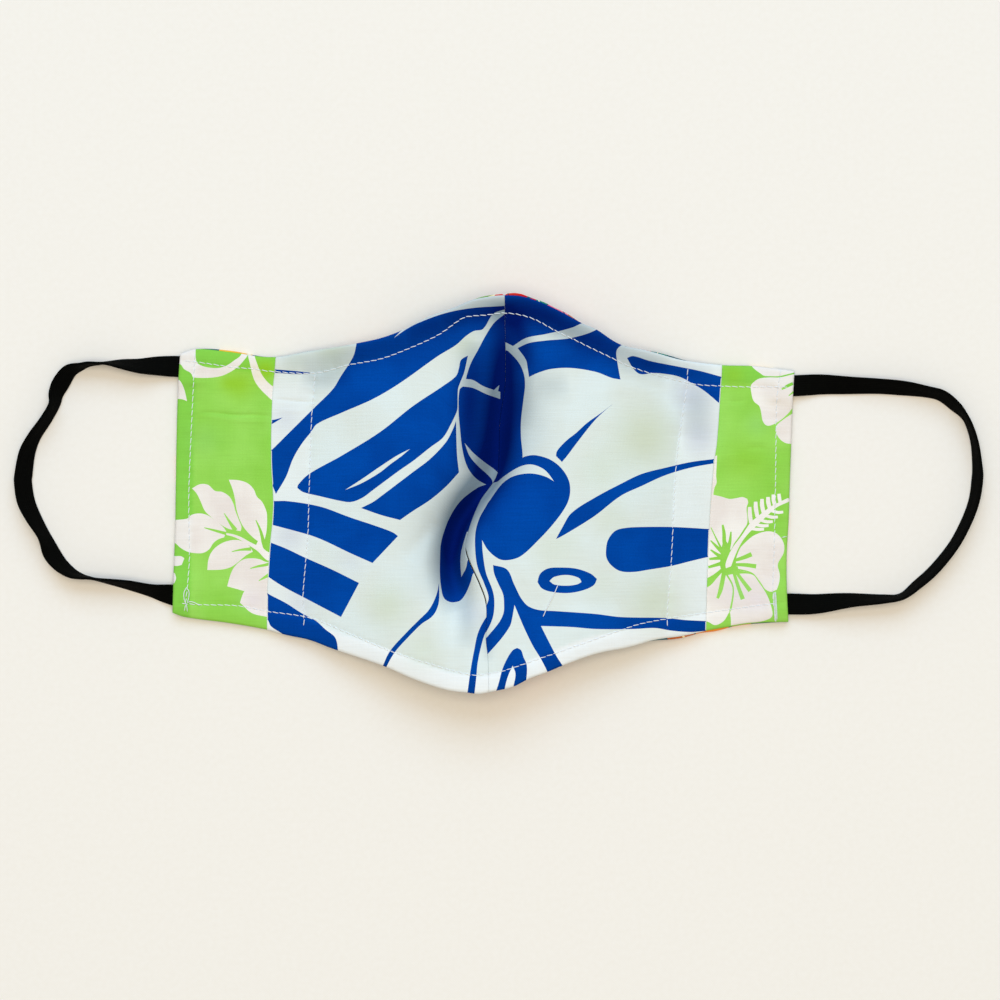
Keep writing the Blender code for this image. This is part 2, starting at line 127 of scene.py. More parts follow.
# Where the two sides of the seam fold against each other and leave a dark line between them
SEAM_FOLD = [(465.5, 552), (473, 571), (480, 585), (485, 602)]
NOSE_STITCHES = [
    (183, 361), (196, 362), (235, 367.5), (251, 368.7), (272, 371.5), (315, 373), (348, 365),
    (380, 359), (405, 350), (438, 335), (463, 318), (473, 316), (486, 315), (504, 313),
    (521, 315), (536, 320), (556, 331), (571, 338), (587, 346), (616, 360), (629, 366),
    (650, 373), (694, 384), (719, 386), (750, 387), (788, 387),
]
CHIN_STITCHES = [
    (180, 603.5), (205, 604.8), (236, 605.7), (268, 611.3), (310, 618), (350, 634), (390, 651),
    (430, 664), (471, 675), (489, 673.5), (503, 671), (524, 664), (541, 658), (556, 653),
    (590, 641), (624, 629), (640, 624), (666, 619), (706, 613), (740, 608), (771, 604),
    (783, 603),
]
LEFT_STITCHES = [
    (195, 352), (193.7, 379), (191.8, 419.6), (189, 485), (189, 524), (189.5, 554), (188, 580),
    (186, 599), (184.2, 616),
]
RIGHT_STITCHES = [
    (781, 368), (776.8, 400), (775.8, 450), (775.4, 485), (774.4, 540), (773, 594), (776, 622),
]
LEFT_EDGE = [(180, 350), (178, 380), (176, 450), (175, 520), (173, 580), (172, 618)]
RIGHT_EDGE = [
    (795, 366), (793, 403), (791.5, 443), (790, 486), (789, 520), (787, 553), (787, 586),
    (789, 626),
]
SHARP_TURN = math.radians(48)
SIGHT_ROUNDS = 5


def ring(outline):
    """An outline with its first point again at its end."""
    return np.vstack([outline, outline[:1]])


def curve(points, step, closed=False):
    """Smooth line through listed points, at even steps. Sharp turns stay sharp."""
    points = np.asarray(points, float)
    if closed:
        points = ring(points)
    runs = np.diff(points, axis=0)
    ways = runs / np.hypot(*runs.T)[:, None]
    arriving, leaving = ways.copy(), ways.copy()
    for k in range(len(points) - (1 if closed else 2)):
        following = (k + 1) % len(runs)
        if math.acos(np.clip(ways[k] @ ways[following], -1, 1)) < SHARP_TURN:
            tangent = runs[k] + runs[following]
            arriving[k] = leaving[following] = tangent / np.hypot(*tangent)
    line = []
    for start, run, away, towards in zip(points, runs, leaving, arriving):
        length = np.hypot(*run)
        t = np.linspace(0, 1, max(int(round(length / step)), 1), endpoint=False)[:, None]
        bend = (t - 2 * t**2 + t**3) * away + (t**3 - t**2) * towards
        line.append(start + run * (3 * t**2 - 2 * t**3) + bend * length)
    return np.vstack(line if closed else line + [points[-1:]])


def nearest(places, line):
    """Distance of each place from a line, and how far along the line its nearest point is."""
    least, along = np.full(len(places), np.inf), np.zeros(len(places))
    done = 0.0
    for start, run in zip(line, np.diff(line, axis=0)):
        length = math.hypot(*run)
        share = np.clip((places - start) @ run / length**2, 0, 1)
        away = np.hypot(*(places - start - share[:, None] * run).T)
        closer = away < least
        least[closer] = away[closer]
        along[closer] = done + share[closer] * length
        done += length
    return least, along


def distance(places, *lines):
    """Distance of each place from the nearest of some lines."""
    return np.min([nearest(places, line)[0] for line in lines], axis=0)


def inside(places, outline):
    """Which places lie inside a closed outline."""
    found = np.zeros(len(places), bool)
    low, high = outline.min(0), outline.max(0)
    near = np.all((places > low) & (places < high), axis=1)
    x, y = places[near].T
    odd = np.zeros(len(x), bool)
    for (x0, y0), (x1, y1) in zip(outline, np.roll(outline, -1, axis=0)):
        if y0 != y1:
            odd ^= ((y0 > y) != (y1 > y)) & (x < x0 + (x1 - x0) * (y - y0) / (y1 - y0))
    found[near] = odd
    return found


def ease(share):
    """Share between 0 and 1 that sets out and arrives gently."""
    share = np.clip(share, 0, 1)
    return share * share * (3 - 2 * share)


def blur(grid, across):
    """Gaussian blur of a grid, with its borders held."""
    blurred = grid
    for _ in range(2):
        places = np.arange(len(blurred))
        weights = np.exp(-(((places[:, None] - places) / across) ** 2) / 2)
        blurred = (weights / weights.sum(1, keepdims=True) @ blurred).T
    return blurred


def beside(grid):
    """Sum of the four neighbours of each value of a grid."""
    wide = np.pad(grid, 1)
    return wide[2:, 1:-1] + wide[:-2, 1:-1] + wide[1:-1, 2:] + wide[1:-1, :-2]


class Surface:
    """Height map of the upper faces of some solids of the frame, with their facets rounded."""

    def __init__(self, *nodes):
        points, faces = [], []
        for node in nodes:
            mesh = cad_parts[node].data
            faces += [[k + len(points) for k in face.vertices] for face in mesh.polygons]
            points += [vertex.co.copy() for vertex in mesh.vertices]
        tree = BVHTree.FromPolygons(points, faces)
        self.low = np.min(points, axis=0)[:2] - MAP_MARGIN
        high = np.max(points, axis=0)[:2] + MAP_MARGIN
        self.x = np.arange(self.low[0], high[0], MAP_STEP)
        self.y = np.arange(self.low[1], high[1], MAP_STEP)
        down = Vector((0, 0, -1))
        hits = [[tree.ray_cast((x, y, FROM_ABOVE), down)[0] for x in self.x] for y in self.y]
        grid = np.array([[hit.z if hit else np.nan for hit in row] for row in hits])
        while np.isnan(grid).any():
            known = ~np.isnan(grid)
            height, count = beside(np.where(known, grid, 0.0)), beside(known.astype(float))
            fresh = ~known & (count > 0)
            grid[fresh] = height[fresh] / count[fresh]
        seam = on_floor(CENTRE_SEAM)[::-1]
        from_seam = np.abs(self.x - np.interp(self.y, seam[:, 1], seam[:, 0])[:, None])
        (low, low_reach), (high, high_reach) = DOME_FROM_SEAM
        past_valley = ease((from_seam - low) / low_reach)
        past_dome = ease((from_seam - high) / high_reach)
        fine = blur(grid, VALLEY_ROUNDING / MAP_STEP)
        broad = blur(grid, DOME_ROUNDING / MAP_STEP)
        self.grid = fine + (broad - fine) * past_valley * (1 - past_dome)
        flat_x, flat_y = (side.ravel() for side in np.meshgrid(self.x, self.y))
        from_nose = distance(np.column_stack([flat_x, flat_y]), on_floor(NOSE_EDGE))
        turned_up = np.clip(1 - from_nose.reshape(grid.shape) / NOSE_LIFT_REACH, 0, 1) ** 2
        sides, sides_reach = NOSE_LIFT_SIDES
        self.grid += NOSE_LIFT * turned_up * ease((sides + sides_reach - from_seam) / sides_reach)
        north, east = np.gradient(self.grid, MAP_STEP)
        self.stretch = np.minimum(np.sqrt(1 + east**2 + north**2), MOST_STRETCH)
        self.weft = np.cumsum(np.sqrt(1 + east**2), axis=1) * MAP_STEP
        self.warp = np.cumsum(np.sqrt(1 + north**2), axis=0) * MAP_STEP

    def read(self, grid, places):
        """Values of one of the maps at places, between its grid points."""
        u = np.clip((places[:, 0] - self.low[0]) / MAP_STEP, 0, len(self.x) - MAP_RIM)
        v = np.clip((places[:, 1] - self.low[1]) / MAP_STEP, 0, len(self.y) - MAP_RIM)
        i, j = u.astype(int), v.astype(int)
        u, v = u - i, v - j
        lower = grid[j, i] * (1 - u) + grid[j, i + 1] * u
        upper = grid[j + 1, i] * (1 - u) + grid[j + 1, i + 1] * u
        return lower * (1 - v) + upper * v

    def height(self, places):
        """Height of the face above the floor."""
        return self.read(self.grid, places)

    def threads(self, places):
        """Places along the cloth's own weft and warp threads."""
        return np.column_stack([self.read(self.weft, places), self.read(self.warp, places)])


outer_face = Surface("outer_left", "outer_right")
inner_face = Surface("lining_left", "lining_right", "side_band_left", "side_band_right")


def on_cloth(pixels):
    """Where lines of sight through pixels of the photograph meet the mask's inner face."""
    floor = on_floor(pixels)
    places = floor
    for _ in range(SIGHT_ROUNDS):
        places = at_height(floor, inner_face.height(places))
    return places


def drawn(pixels, closed=False):
    """A smooth line on the cloth, through points read from the photograph."""
    return on_cloth(curve(pixels, CUT_STEP / PIXEL, closed))


nose_edge, chin_edge = drawn(NOSE_EDGE), drawn(CHIN_EDGE)
centre_seam = drawn(CENTRE_SEAM)
left_edge, right_edge = drawn(LEFT_EDGE), drawn(RIGHT_EDGE)
stitch_lines = {
    "nose": drawn(NOSE_STITCHES),
    "chin": drawn(CHIN_STITCHES),
    "left": drawn(LEFT_STITCHES),
    "right": drawn(RIGHT_STITCHES),
}


def crossing(first, second):
    """Where two lines cross, as a place, with how far along each line it is."""
    for i, (a, run) in enumerate(zip(first, np.diff(first, axis=0))):
        others, ways = second[:-1] - a, np.diff(second, axis=0)
        turned = run[0] * ways[:, 1] - run[1] * ways[:, 0]
        with np.errstate(divide="ignore", invalid="ignore"):
            t = (others[:, 0] * ways[:, 1] - others[:, 1] * ways[:, 0]) / turned
            u = (others[:, 0] * run[1] - others[:, 1] * run[0]) / turned
        hits = np.flatnonzero((t >= 0) & (t < 1) & (u >= 0) & (u < 1))
        if len(hits):
            return a + t[hits[0]] * run, i + t[hits[0]], hits[0] + u[hits[0]]
    raise ValueError("the two lines don't cross")


def stretch_between(line, start, end):
    """The part of a line from one crossing to another, in that direction."""
    (start_place, start_at), (_, end_at) = start, end
    low, high = sorted((start_at, end_at))
    middle = line[int(math.floor(low)) + 1 : int(math.ceil(high))]
    return np.vstack([start_place, middle if start_at < end_at else middle[::-1]])


def panel_outline(inner, outer):
    """Closed outline between two lines that run from the nose edge to the chin edge."""
    outline = []
    top_in, top_out = crossing(nose_edge, inner), crossing(nose_edge, outer)
    low_in, low_out = crossing(chin_edge, inner), crossing(chin_edge, outer)
    for line, start, end, part in (
        (nose_edge, top_in, top_out, 1),
        (outer, top_out, low_out, 2),
        (chin_edge, low_out, low_in, 1),
        (inner, low_in, top_in, 2),
    ):
        outline.append(stretch_between(line, (start[0], start[part]), (end[0], end[part])))
    return np.vstack(outline)


def moved(line, aside):
    """A line moved sideways, to the right of the way it runs."""
    ways = np.gradient(line, axis=0)
    ways /= np.hypot(*ways.T)[:, None]
    return line + np.column_stack([ways[:, 1], -ways[:, 0]]) * aside


def rolled(from_edge, radius):
    """How far a rounded edge falls away at a distance from it."""
    near = np.clip(1 - from_edge / radius, 0, 1)
    return radius * (1 - np.sqrt(1 - near**2))


def seam_side(away):
    """The centre seam as one panel has it, away from the other panel by half the gap."""
    from_fold = distance(centre_seam, drawn(SEAM_FOLD))
    half_gap = HALF_SEAM_GAP + SLIT * ease(1 - from_fold / SLIT_REACH)
    return moved(centre_seam, away * half_gap[:, None])


def drawn_in(places, lines):
    """How far rows of stitches draw the cloth in, deepest where the thread goes through."""
    total = np.zeros(len(places))
    for line in lines:
        away, along = nearest(places, line)
        through = np.cos(2 * math.pi * along / STITCH_PITCH)
        pull = STITCH_LEAST_DIP + (1 - STITCH_LEAST_DIP) * through
        total = np.maximum(total, STITCH_DIP * pull * np.exp(-((away / STITCH_DIP_REACH) ** 2)))
    return total


def spacing(places, others):
    """Distance of each place from the nearest of some other points."""
    tree = KDTree(len(others))
    for k, other in enumerate(others):
        tree.insert((*other, 0), k)
    tree.balance()
    return np.array([tree.find((*place, 0))[2] for place in places])


def turning(outline):
    """1 for an outline that runs anticlockwise, and -1 for one that runs clockwise."""
    return np.sign(np.cross(outline, np.roll(outline, -1, axis=0)).sum())


# Points of the cloth beside a row of stitches, and inwards of its edge
ROW_GRID = [-0.8 * MM, -0.35 * MM, 0.0, 0.35 * MM, 0.8 * MM]
EDGE_GRID = [0.10 * MM, 0.30 * MM, 0.60 * MM, 0.95 * MM]
EDGE_GRID_SHARE = 0.93
KEEP_OUT = 0.4 * MM
LEAST_KEEP_OUT = 0.09 * MM
KEEP_OUT_AT_EDGE = 0.9
SAME_POINT_MM = 0.02


def cut(outline, prints, lines):
    """Cloth cut in plan along its outline and round each print, and finer along some lines.

    Returns its points, its triangles, and the number of the print on each triangle.
    """
    loop = ring(outline)
    borders = [outline, *prints]
    low, high = outline.min(0), outline.max(0)
    fine = [moved(line, aside) for line in lines for aside in ROW_GRID]
    for inset in EDGE_GRID:
        inner = moved(loop, -inset * turning(outline))
        fine.append(inner[distance(inner, loop) > EDGE_GRID_SHARE * inset])
    fine = np.vstack(fine)
    fine = fine[inside(fine, outline)]
    filling = [fine]
    for grid, near in ((CLOTH_GRID, False), (NEAR_SEAM_GRID, True)):
        rows = np.arange(low[1], high[1], grid * math.sqrt(3) / 2)
        columns = np.arange(low[0], high[0], grid)
        lattice = [(x + grid / 2 * (k % 2), y) for k, y in enumerate(rows) for x in columns]
        lattice = np.array(lattice)
        close = distance(lattice, centre_seam) < NEAR_SEAM
        lattice = lattice[(close == near) & inside(lattice, outline)]
        filling.append(lattice[spacing(lattice, fine) > KEEP_OUT])
    filling = np.vstack(filling)
    room = np.maximum(distance(filling, loop) * KEEP_OUT_AT_EDGE, LEAST_KEEP_OUT)
    filling = filling[spacing(filling, np.vstack(borders)) > np.minimum(KEEP_OUT, room)]
    points, edges = [], []
    for border in borders:
        first, count = len(points), len(border)
        points += [Vector(place / MM) for place in border]
        edges += [(first + k, first + (k + 1) % count) for k in range(count)]
    points += [Vector(place / MM) for place in filling]
    places, _, faces, _, _, _ = delaunay_2d_cdt(points, edges, [], 0, SAME_POINT_MM, False)
    places = np.array([tuple(place) for place in places]) * MM
    faces = np.array(faces)
    middles = places[faces].mean(1)
    faces = faces[inside(middles, outline)]
    middles = places[faces].mean(1)
    inks = np.full(len(faces), -1)
    for number, shape in enumerate(prints):
        inks[inside(middles, shape)] = number
    used, faces = np.unique(faces, return_inverse=True)
    return places[used], faces.reshape(-1, 3), inks


def marked(piece, name, values):
    """Keeps a row of three numbers for each point of the cloth, on both its faces alike."""
    attribute = piece.data.attributes.new(name, "FLOAT_VECTOR", "POINT")
    attribute.data.foreach_set("vector", np.vstack([values, values]).ravel().astype(np.float32))


def new_piece(name, points, faces, materials):
    """A piece from its points and faces, smoothly shaded."""
    mesh = bpy.data.meshes.new(name)
    mesh.from_pydata(points, [], faces)
    mesh.polygons.foreach_set("use_smooth", np.ones(len(mesh.polygons), bool))
    for material in materials:
        mesh.materials.append(material)
    piece = bpy.data.objects.new(name, mesh)
    bpy.context.scene.collection.objects.link(piece)
    return piece


def sewn(name, places, faces, slots, top, bottom, surface, materials):
    """Closed cloth between its upper and lower face, with a finish for each triangle."""
    count = len(places)
    points = np.vstack([np.column_stack([places, top]), np.column_stack([places, bottom])])
    a, b, c = (places[faces[:, k]] for k in range(3))
    faces = np.where((np.cross(b - a, c - a) < 0)[:, None], faces[:, ::-1], faces)
    sides = np.vstack([faces[:, [0, 1]], faces[:, [1, 2]], faces[:, [2, 0]]])
    _, back, uses = np.unique(np.sort(sides, 1), axis=0, return_inverse=True, return_counts=True)
    rim = uses[back.ravel()] == 1
    rim_slots = np.tile(slots, 3)[rim]
    first, second = sides[rim].T
    walls = np.vstack(
        [
            np.column_stack([first + count, second + count, second]),
            np.column_stack([first + count, second, first]),
        ]
    )
    triangles = np.vstack([faces, faces[:, ::-1] + count, walls])
    piece = new_piece(name, points.tolist(), triangles.tolist(), materials)
    all_slots = np.concatenate([slots, slots, rim_slots, rim_slots])
    piece.data.polygons.foreach_set("material_index", all_slots.astype(np.int32))
    piece.data.update()
    marked(piece, "threads", np.column_stack([surface.threads(places), np.zeros(count)]))
    a, b, c = (points[faces[:, k]] for k in range(3))
    return piece, np.linalg.norm(np.cross(b - a, c - a), axis=1).sum() / 2


def laid(piece, outline, node):
    """Sets a piece of cloth on the mask in place of its solid, and hides the solid."""
    shape = tuple(outline.max(0) - outline.min(0))
    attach(piece, "root")
    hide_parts(node)


class Tone:
    """A value or colour in a finish. Sums on values add the Math nodes for them."""

    def __init__(self, socket):
        self.socket = socket

    def node(self, kind, settings, sockets, output=0):
        """An output of a new node in the same finish."""
        tree = self.socket.id_data
        made = tree.nodes.new(kind)
        for name, value in settings.items():
            setattr(made, name, value)
        for name, value in sockets.items():
            if isinstance(value, Tone):
                tree.links.new(value.socket, made.inputs[name])
            else:
                made.inputs[name].default_value = value
        return Tone(made.outputs[output])

    def maths(self, operation, first, second=0.0):
        """The result of a sum on values."""
        return self.node("ShaderNodeMath", {"operation": operation}, {0: first, 1: second})

    def parts(self):
        """The three numbers of a vector."""
        split = self.node("ShaderNodeSeparateXYZ", {}, {0: self})
        return [Tone(output) for output in split.socket.node.outputs]

    def feed(self, shader, name):
        """Leads this value or colour into a socket of the finish's shader."""
        self.socket.id_data.links.new(self.socket, shader.inputs[name])

    def emboss(self, shader, strength):
        """Makes this height, in metres, the relief of the finish."""
        relief = {"Height": self, "Distance": 1.0, "Strength": strength}
        self.node("ShaderNodeBump", {}, relief).feed(shader, "Normal")

    def __add__(self, other):
        return self.maths("ADD", self, other)

    def __sub__(self, other):
        return self.maths("SUBTRACT", self, other)

    def __rsub__(self, other):
        return self.maths("SUBTRACT", other, self)

    def __mul__(self, other):
        return self.maths("MULTIPLY", self, other)

    def __truediv__(self, other):
        return self.maths("DIVIDE", self, other)

    __radd__ = __add__
    __rmul__ = __mul__


def linear(red, green, blue):
    """A colour as the eye reads it from a screen, 0 to 255, as the renderer's own values."""
    shares = [part / 255 for part in (red, green, blue)]
    parts = [s / 12.92 if s <= 0.04045 else ((s + 0.055) / 1.055) ** 2.4 for s in shares]
    return (*parts, 1.0)


def blended(base, first, second, share, how="MIX"):
    """Mix of two colours, where base is any value of the same finish."""
    settings = {"data_type": "RGBA", "blend_type": how, "clamp_factor": True}
    return base.node("ShaderNodeMix", settings, {0: share, 6: first, 7: second}, output=2)


def new_finish(name, kind, output):
    """A new finish: its material, its shader, and the places that its detail is laid out by."""
    material = bpy.data.materials.new(name)
    material.use_nodes = True
    nodes = material.node_tree.nodes
    return material, nodes["Principled BSDF"], Tone(nodes.new(kind).outputs[output])


WEAVE_PITCH = 0.42 * MM
DYE_SPECK = 0.45 * MM
CLOUD_SIZE = 16 * MM
CLOUD_SPREAD = 0.3
SLUB_LENGTH = 9 * MM
SLUB_WIDTH = 0.5 * MM
WEAVE_RELIEF = 0.012 * MM
WEFT_RELIEF = 0.10 * MM
WARP_RELIEF = 0.05 * MM
RELIEF_STRENGTH = 0.55
COTTON_ROUGHNESS = [0.80, 0.92]
COTTON_GLOSS = 0.02


def cotton(name, colour, cloud_colour, slub_depth=0.05, speck_depth=0.0, under=None):
    """Printed plain-weave cotton: a dye that clouds softly, with thicker threads here and there.

    Where other cloth changes its look, under gives four colours: where it lies double, over the
    yellow-green and over the violet parts of what lies beneath, and painted shade deep in a fold.
    """
    material, shader, place = new_finish(name, "ShaderNodeAttribute", "Vector")
    place.socket.node.attribute_name = "threads"

    def noise(size, detail, warp=1.0, weft=1.0):
        stretch = {0: place, 1: (warp, weft, 1.0)}
        stretched = place.node("ShaderNodeVectorMath", {"operation": "MULTIPLY"}, stretch)
        sockets = {"Vector": stretched, "Scale": 1 / size, "Detail": detail}
        return place.node("ShaderNodeTexNoise", {"noise_dimensions": "2D"}, sockets)

    cloud = noise(CLOUD_SIZE, 2.0)
    weft_slub = noise(SLUB_WIDTH, 1.0, warp=SLUB_WIDTH / SLUB_LENGTH)
    warp_slub = noise(SLUB_WIDTH, 1.0, weft=SLUB_WIDTH / SLUB_LENGTH)
    speck = noise(DYE_SPECK, 2.0)
    share = (cloud - (1 - CLOUD_SPREAD) / 2) / CLOUD_SPREAD
    dyed = blended(place, linear(*colour), linear(*cloud_colour), share)
    if under:
        named = {"attribute_name": "below_and_painted_shade"}
        below_and_painted_shade = place.node("ShaderNodeAttribute", named, {}, output="Vector")
        # The third number is painted shade, which darkens the dye in folds and along turned edges
        tint, double, painted_shade = below_and_painted_shade.parts()
        for tone, amount in zip(under, (double, tint, tint * -1, painted_shade)):
            dyed = blended(place, dyed, linear(*tone), amount)
    shade = 1 + (weft_slub - 0.5) * (2 * slub_depth) + (warp_slub - 0.5) * slub_depth
    shade = shade + (speck - 0.5) * (2 * speck_depth)
    grey = place.node("ShaderNodeCombineColor", {}, {0: shade, 1: shade, 2: shade})
    tinted = blended(place, dyed, grey, 1.0, "MULTIPLY")
    warp, weft = (
        place.maths("SINE", thread * (math.pi / WEAVE_PITCH)) for thread in place.parts()[:2]
    )
    height = warp * weft * WEAVE_RELIEF + weft_slub * WEFT_RELIEF + warp_slub * WARP_RELIEF
    smooth, rough = COTTON_ROUGHNESS
    tinted.feed(shader, "Base Color")
    height.emboss(shader, RELIEF_STRENGTH)
    (smooth + speck * (rough - smooth)).feed(shader, "Roughness")
    shader.inputs["Specular IOR Level"].default_value = COTTON_GLOSS
    material.diffuse_color = linear(*colour)
    return material


BLOOM = [
    (0.05, 0.00), (0.30, -0.20), (0.62, -0.40), (0.90, -0.36), (1.02, -0.14), (0.95, 0.02),
    (1.00, 0.18), (0.88, 0.38), (0.60, 0.40), (0.28, 0.18),
]
BLOOM_THROAT = [(0.0, 0.0), (0.22, -0.10), (0.52, -0.03), (0.55, 0.05), (0.24, 0.10)]
BLOOM_STAMEN = [
    (0.0, -0.05), (0.55, -0.02), (0.95, 0.10), (1.18, 0.26), (1.25, 0.42), (1.10, 0.40),
    (0.98, 0.24), (0.60, 0.07), (0.0, 0.06),
]
LEAF = [
    (0.0, 0.0), (0.20, -0.18), (0.50, -0.26), (0.80, -0.15), (1.08, 0.05), (0.80, 0.16),
    (0.50, 0.24), (0.22, 0.18),
]
LEAF_VEIN = [(0.06, -0.02), (0.50, -0.01), (0.96, 0.04), (0.50, 0.035), (0.06, 0.02)]
# Blooms and leaves of the outer print: colour, middle or stalk in the photograph, length, turn
OUTER_BLOOMS = [
    ("scarlet", (514, 313), 7.2, 220), ("pink", (569, 326), 8.6, 230),
    ("golden", (232, 382), 12.5, 10), ("orange", (716, 600), 12.5, 45),
    ("scarlet", (330, 480), 15.5, 35), ("golden", (420, 610), 14.0, 5),
    ("pink", (250, 560), 14.0, 50), ("orange", (600, 500), 15.0, 0),
    ("scarlet", (690, 440), 13.0, 30), ("golden", (760, 400), 11.0, 15),
    ("pink", (455, 400), 13.0, 40), ("pink", (520, 640), 12.0, 25),
    ("orange", (375, 380), 11.5, 62), ("scarlet", (770, 545), 11.0, 50),
    ("golden", (625, 595), 10.5, 20), ("orange", (205, 470), 10.5, 30),
]
OUTER_LEAVES = [
    ("lime", (466, 309), 12.5, 17), ("teal", (540, 320), 8.0, 95),
    ("lime", (560, 400), 17.0, 250), ("teal", (440, 350), 14.0, 150),
    ("scarlet", (626, 372), 12.0, 40), ("lime", (300, 420), 19.0, 140),
    ("teal", (340, 560), 18.0, 300), ("lime", (440, 540), 16.0, 20),
    ("teal", (650, 400), 17.0, 80), ("lime", (660, 560), 18.0, 210),
    ("rust", (665, 612), 16.0, -55), ("teal", (230, 520), 15.0, 100),
    ("lime", (730, 480), 17.0, 330), ("teal", (475, 470), 15.0, 200),
    ("lime", (395, 440), 15.0, 60), ("teal", (565, 590), 17.0, 190),
    ("lime", (480, 600), 14.0, 260), ("teal", (290, 620), 15.0, 10),
    ("rust", (630, 345), 14.0, 15), ("lime", (205, 590), 13.0, 30),
]
PETALS = 5
STAMEN_SHARE = 0.8
STAMEN_TURN = 38
OUTER_PRINT_STEP = CUT_STEP * 1.4
OUTER_COLOURS = {
    "sea": ((18, 92, 104), (12, 70, 96)),
    "scarlet": ((206, 32, 38), (226, 64, 52)),
    "pink": ((232, 92, 128), (246, 152, 168)),
    "golden": ((246, 190, 60), (250, 214, 110)),
    "orange": ((238, 120, 38), (248, 160, 70)),
    "lime": ((128, 176, 60), (88, 148, 66)),
    "teal": ((30, 138, 120), (20, 112, 112)),
    "rust": ((176, 88, 44), (206, 116, 60)),
    "cream": ((250, 240, 208), (255, 236, 180)),
}
# Where the outer layer's edge stands out past the lining: pixel, how far, over how long a stretch
PEEPS = [
    ((488, 297), 0.36, 15), ((517, 296), 0.75, 15), ((543, 303), 0.36, 10), ((565, 313), 0.42, 16),
    ((668, 356), 0.40, 22), ((676, 637), 0.65, 24), ((716, 629), 0.60, 14), ((228, 352), 0.45, 30),
    ((760, 623), 0.25, 25), ((300, 354), 0.10, 30),
]


def placed(shape, pixel, length, turn):
    """A print's outline, with its length in mm, its stalk at a pixel and its turn in degrees."""
    angle = math.radians(turn)
    along = np.array([math.cos(angle), math.sin(angle)])
    aside = np.array([-math.sin(angle), math.cos(angle)])
    points = np.array(shape) @ np.vstack([along, aside]) * length * MM
    return curve(points + on_floor([pixel])[0], OUTER_PRINT_STEP, closed=True)


outer_prints, outer_inks = [], []
for colour, stalk, length, turn in OUTER_LEAVES:
    outer_prints += [placed(LEAF, stalk, length, turn), placed(LEAF_VEIN, stalk, length, turn)]
    outer_inks += [colour, "cream"]
for colour, middle, length, turn in OUTER_BLOOMS:
    for shape, ink in ((BLOOM, colour), (BLOOM_THROAT, "pink" if colour == "scarlet" else "rust")):
        for petal in range(PETALS):
            outer_prints.append(placed(shape, middle, length, turn + 360 / PETALS * petal))
            outer_inks.append(ink)
    outer_prints.append(placed(BLOOM_STAMEN, middle, length * STAMEN_SHARE, turn + STAMEN_TURN))
    outer_inks.append("cream")

outer_names = list(OUTER_COLOURS)
outer_cottons = [cotton(f"outer_cotton_{name}", *OUTER_COLOURS[name]) for name in outer_names]
OUTER_SETBACK = 0.12 * MM
OUTER_EDGE = 0.42 * MM
OFF_FLOOR = 0.02 * MM
LEAST_CLOTH = 0.05 * MM

for side, edge, away in (("left", left_edge, 1), ("right", right_edge, -1)):
    seam = seam_side(away)
    outline = panel_outline(seam, edge)
    peep = np.full(len(outline), -OUTER_SETBACK)
    for pixel, most, reach in PEEPS:
        gone = np.hypot(*(outline - on_cloth([pixel])[0]).T) / (reach * PIXEL)
        peep += (most * MM + OUTER_SETBACK) * np.exp(-(gone**2))
    peep *= ease(distance(outline, seam) / TURNED_EDGE)
    outline = moved(outline, peep[:, None] * turning(outline))
    near = [shape for shape in outer_prints if inside(shape, outline).any()]
    inks = [ink for shape, ink in zip(outer_prints, outer_inks) if inside(shape, outline).any()]
    rows = [stitch_lines[side], stitch_lines["nose"], stitch_lines["chin"]]
    places, faces, printed = cut(outline, near, rows)
    slots = np.array([outer_names.index(ink) for ink in inks] + [0])[printed]
    top = outer_face.height(places)
    stretch = outer_face.read(outer_face.stretch, places)
    bottom = np.maximum(top - CLOTH_THICKNESS * stretch, OFF_FLOOR) + drawn_in(places, rows)
    at_seam = distance(places, seam) < TURNED_EDGE
    from_rim = distance(places, ring(outline))
    turned = rolled(np.where(at_seam, OUTER_EDGE, from_rim), OUTER_EDGE)
    top, bottom = top - turned, np.minimum(bottom + turned, top - turned - LEAST_CLOTH)
    name = f"outer_{side}_cloth"
    piece, area = sewn(name, places, faces, slots, top, bottom, outer_face, outer_cottons)
    laid(piece, outline, f"outer_{side}")


# The ear loops are black braided elastic a quarter of an inch wide, one for each ear. Their ends
# are sewn in between the outer layer and the side bands, and they lie in open loops that turn up
# on edge round the bends.
ELASTIC_WIDTH = 6.35 * MM
ELASTIC_THICKNESS = 0.90 * MM
ELASTIC_RIBS = 9
RIB_POINTS = 6
RIB_ROUNDNESS = 0.6
RIB_DEPTH = 0.10 * MM
EDGE_SQUARENESS = 14
ELASTIC_STEP = 0.55 * MM
BEND_POINTS = 16
ELASTIC_TUCK = 5.4 * MM
ENTRY_HEIGHT = 1.8 * MM
SETTLE_LENGTH = 10 * MM
BRAID_PITCH = 0.9 * MM
BRAID_SLANT = 0.8
BRAID_RELIEF = 0.03 * MM
BRAID_STRENGTH = 0.8
BRAID_FUZZ = 1.1 * MM
FUZZ_RELIEF = 0.05 * MM
ELASTIC_BLACK = (1, 1, 1)
ELASTIC_WORN = (8, 9, 7)
ELASTIC_ROUGHNESS = [0.62, 0.82]
ELASTIC_GLOSS = 0.03
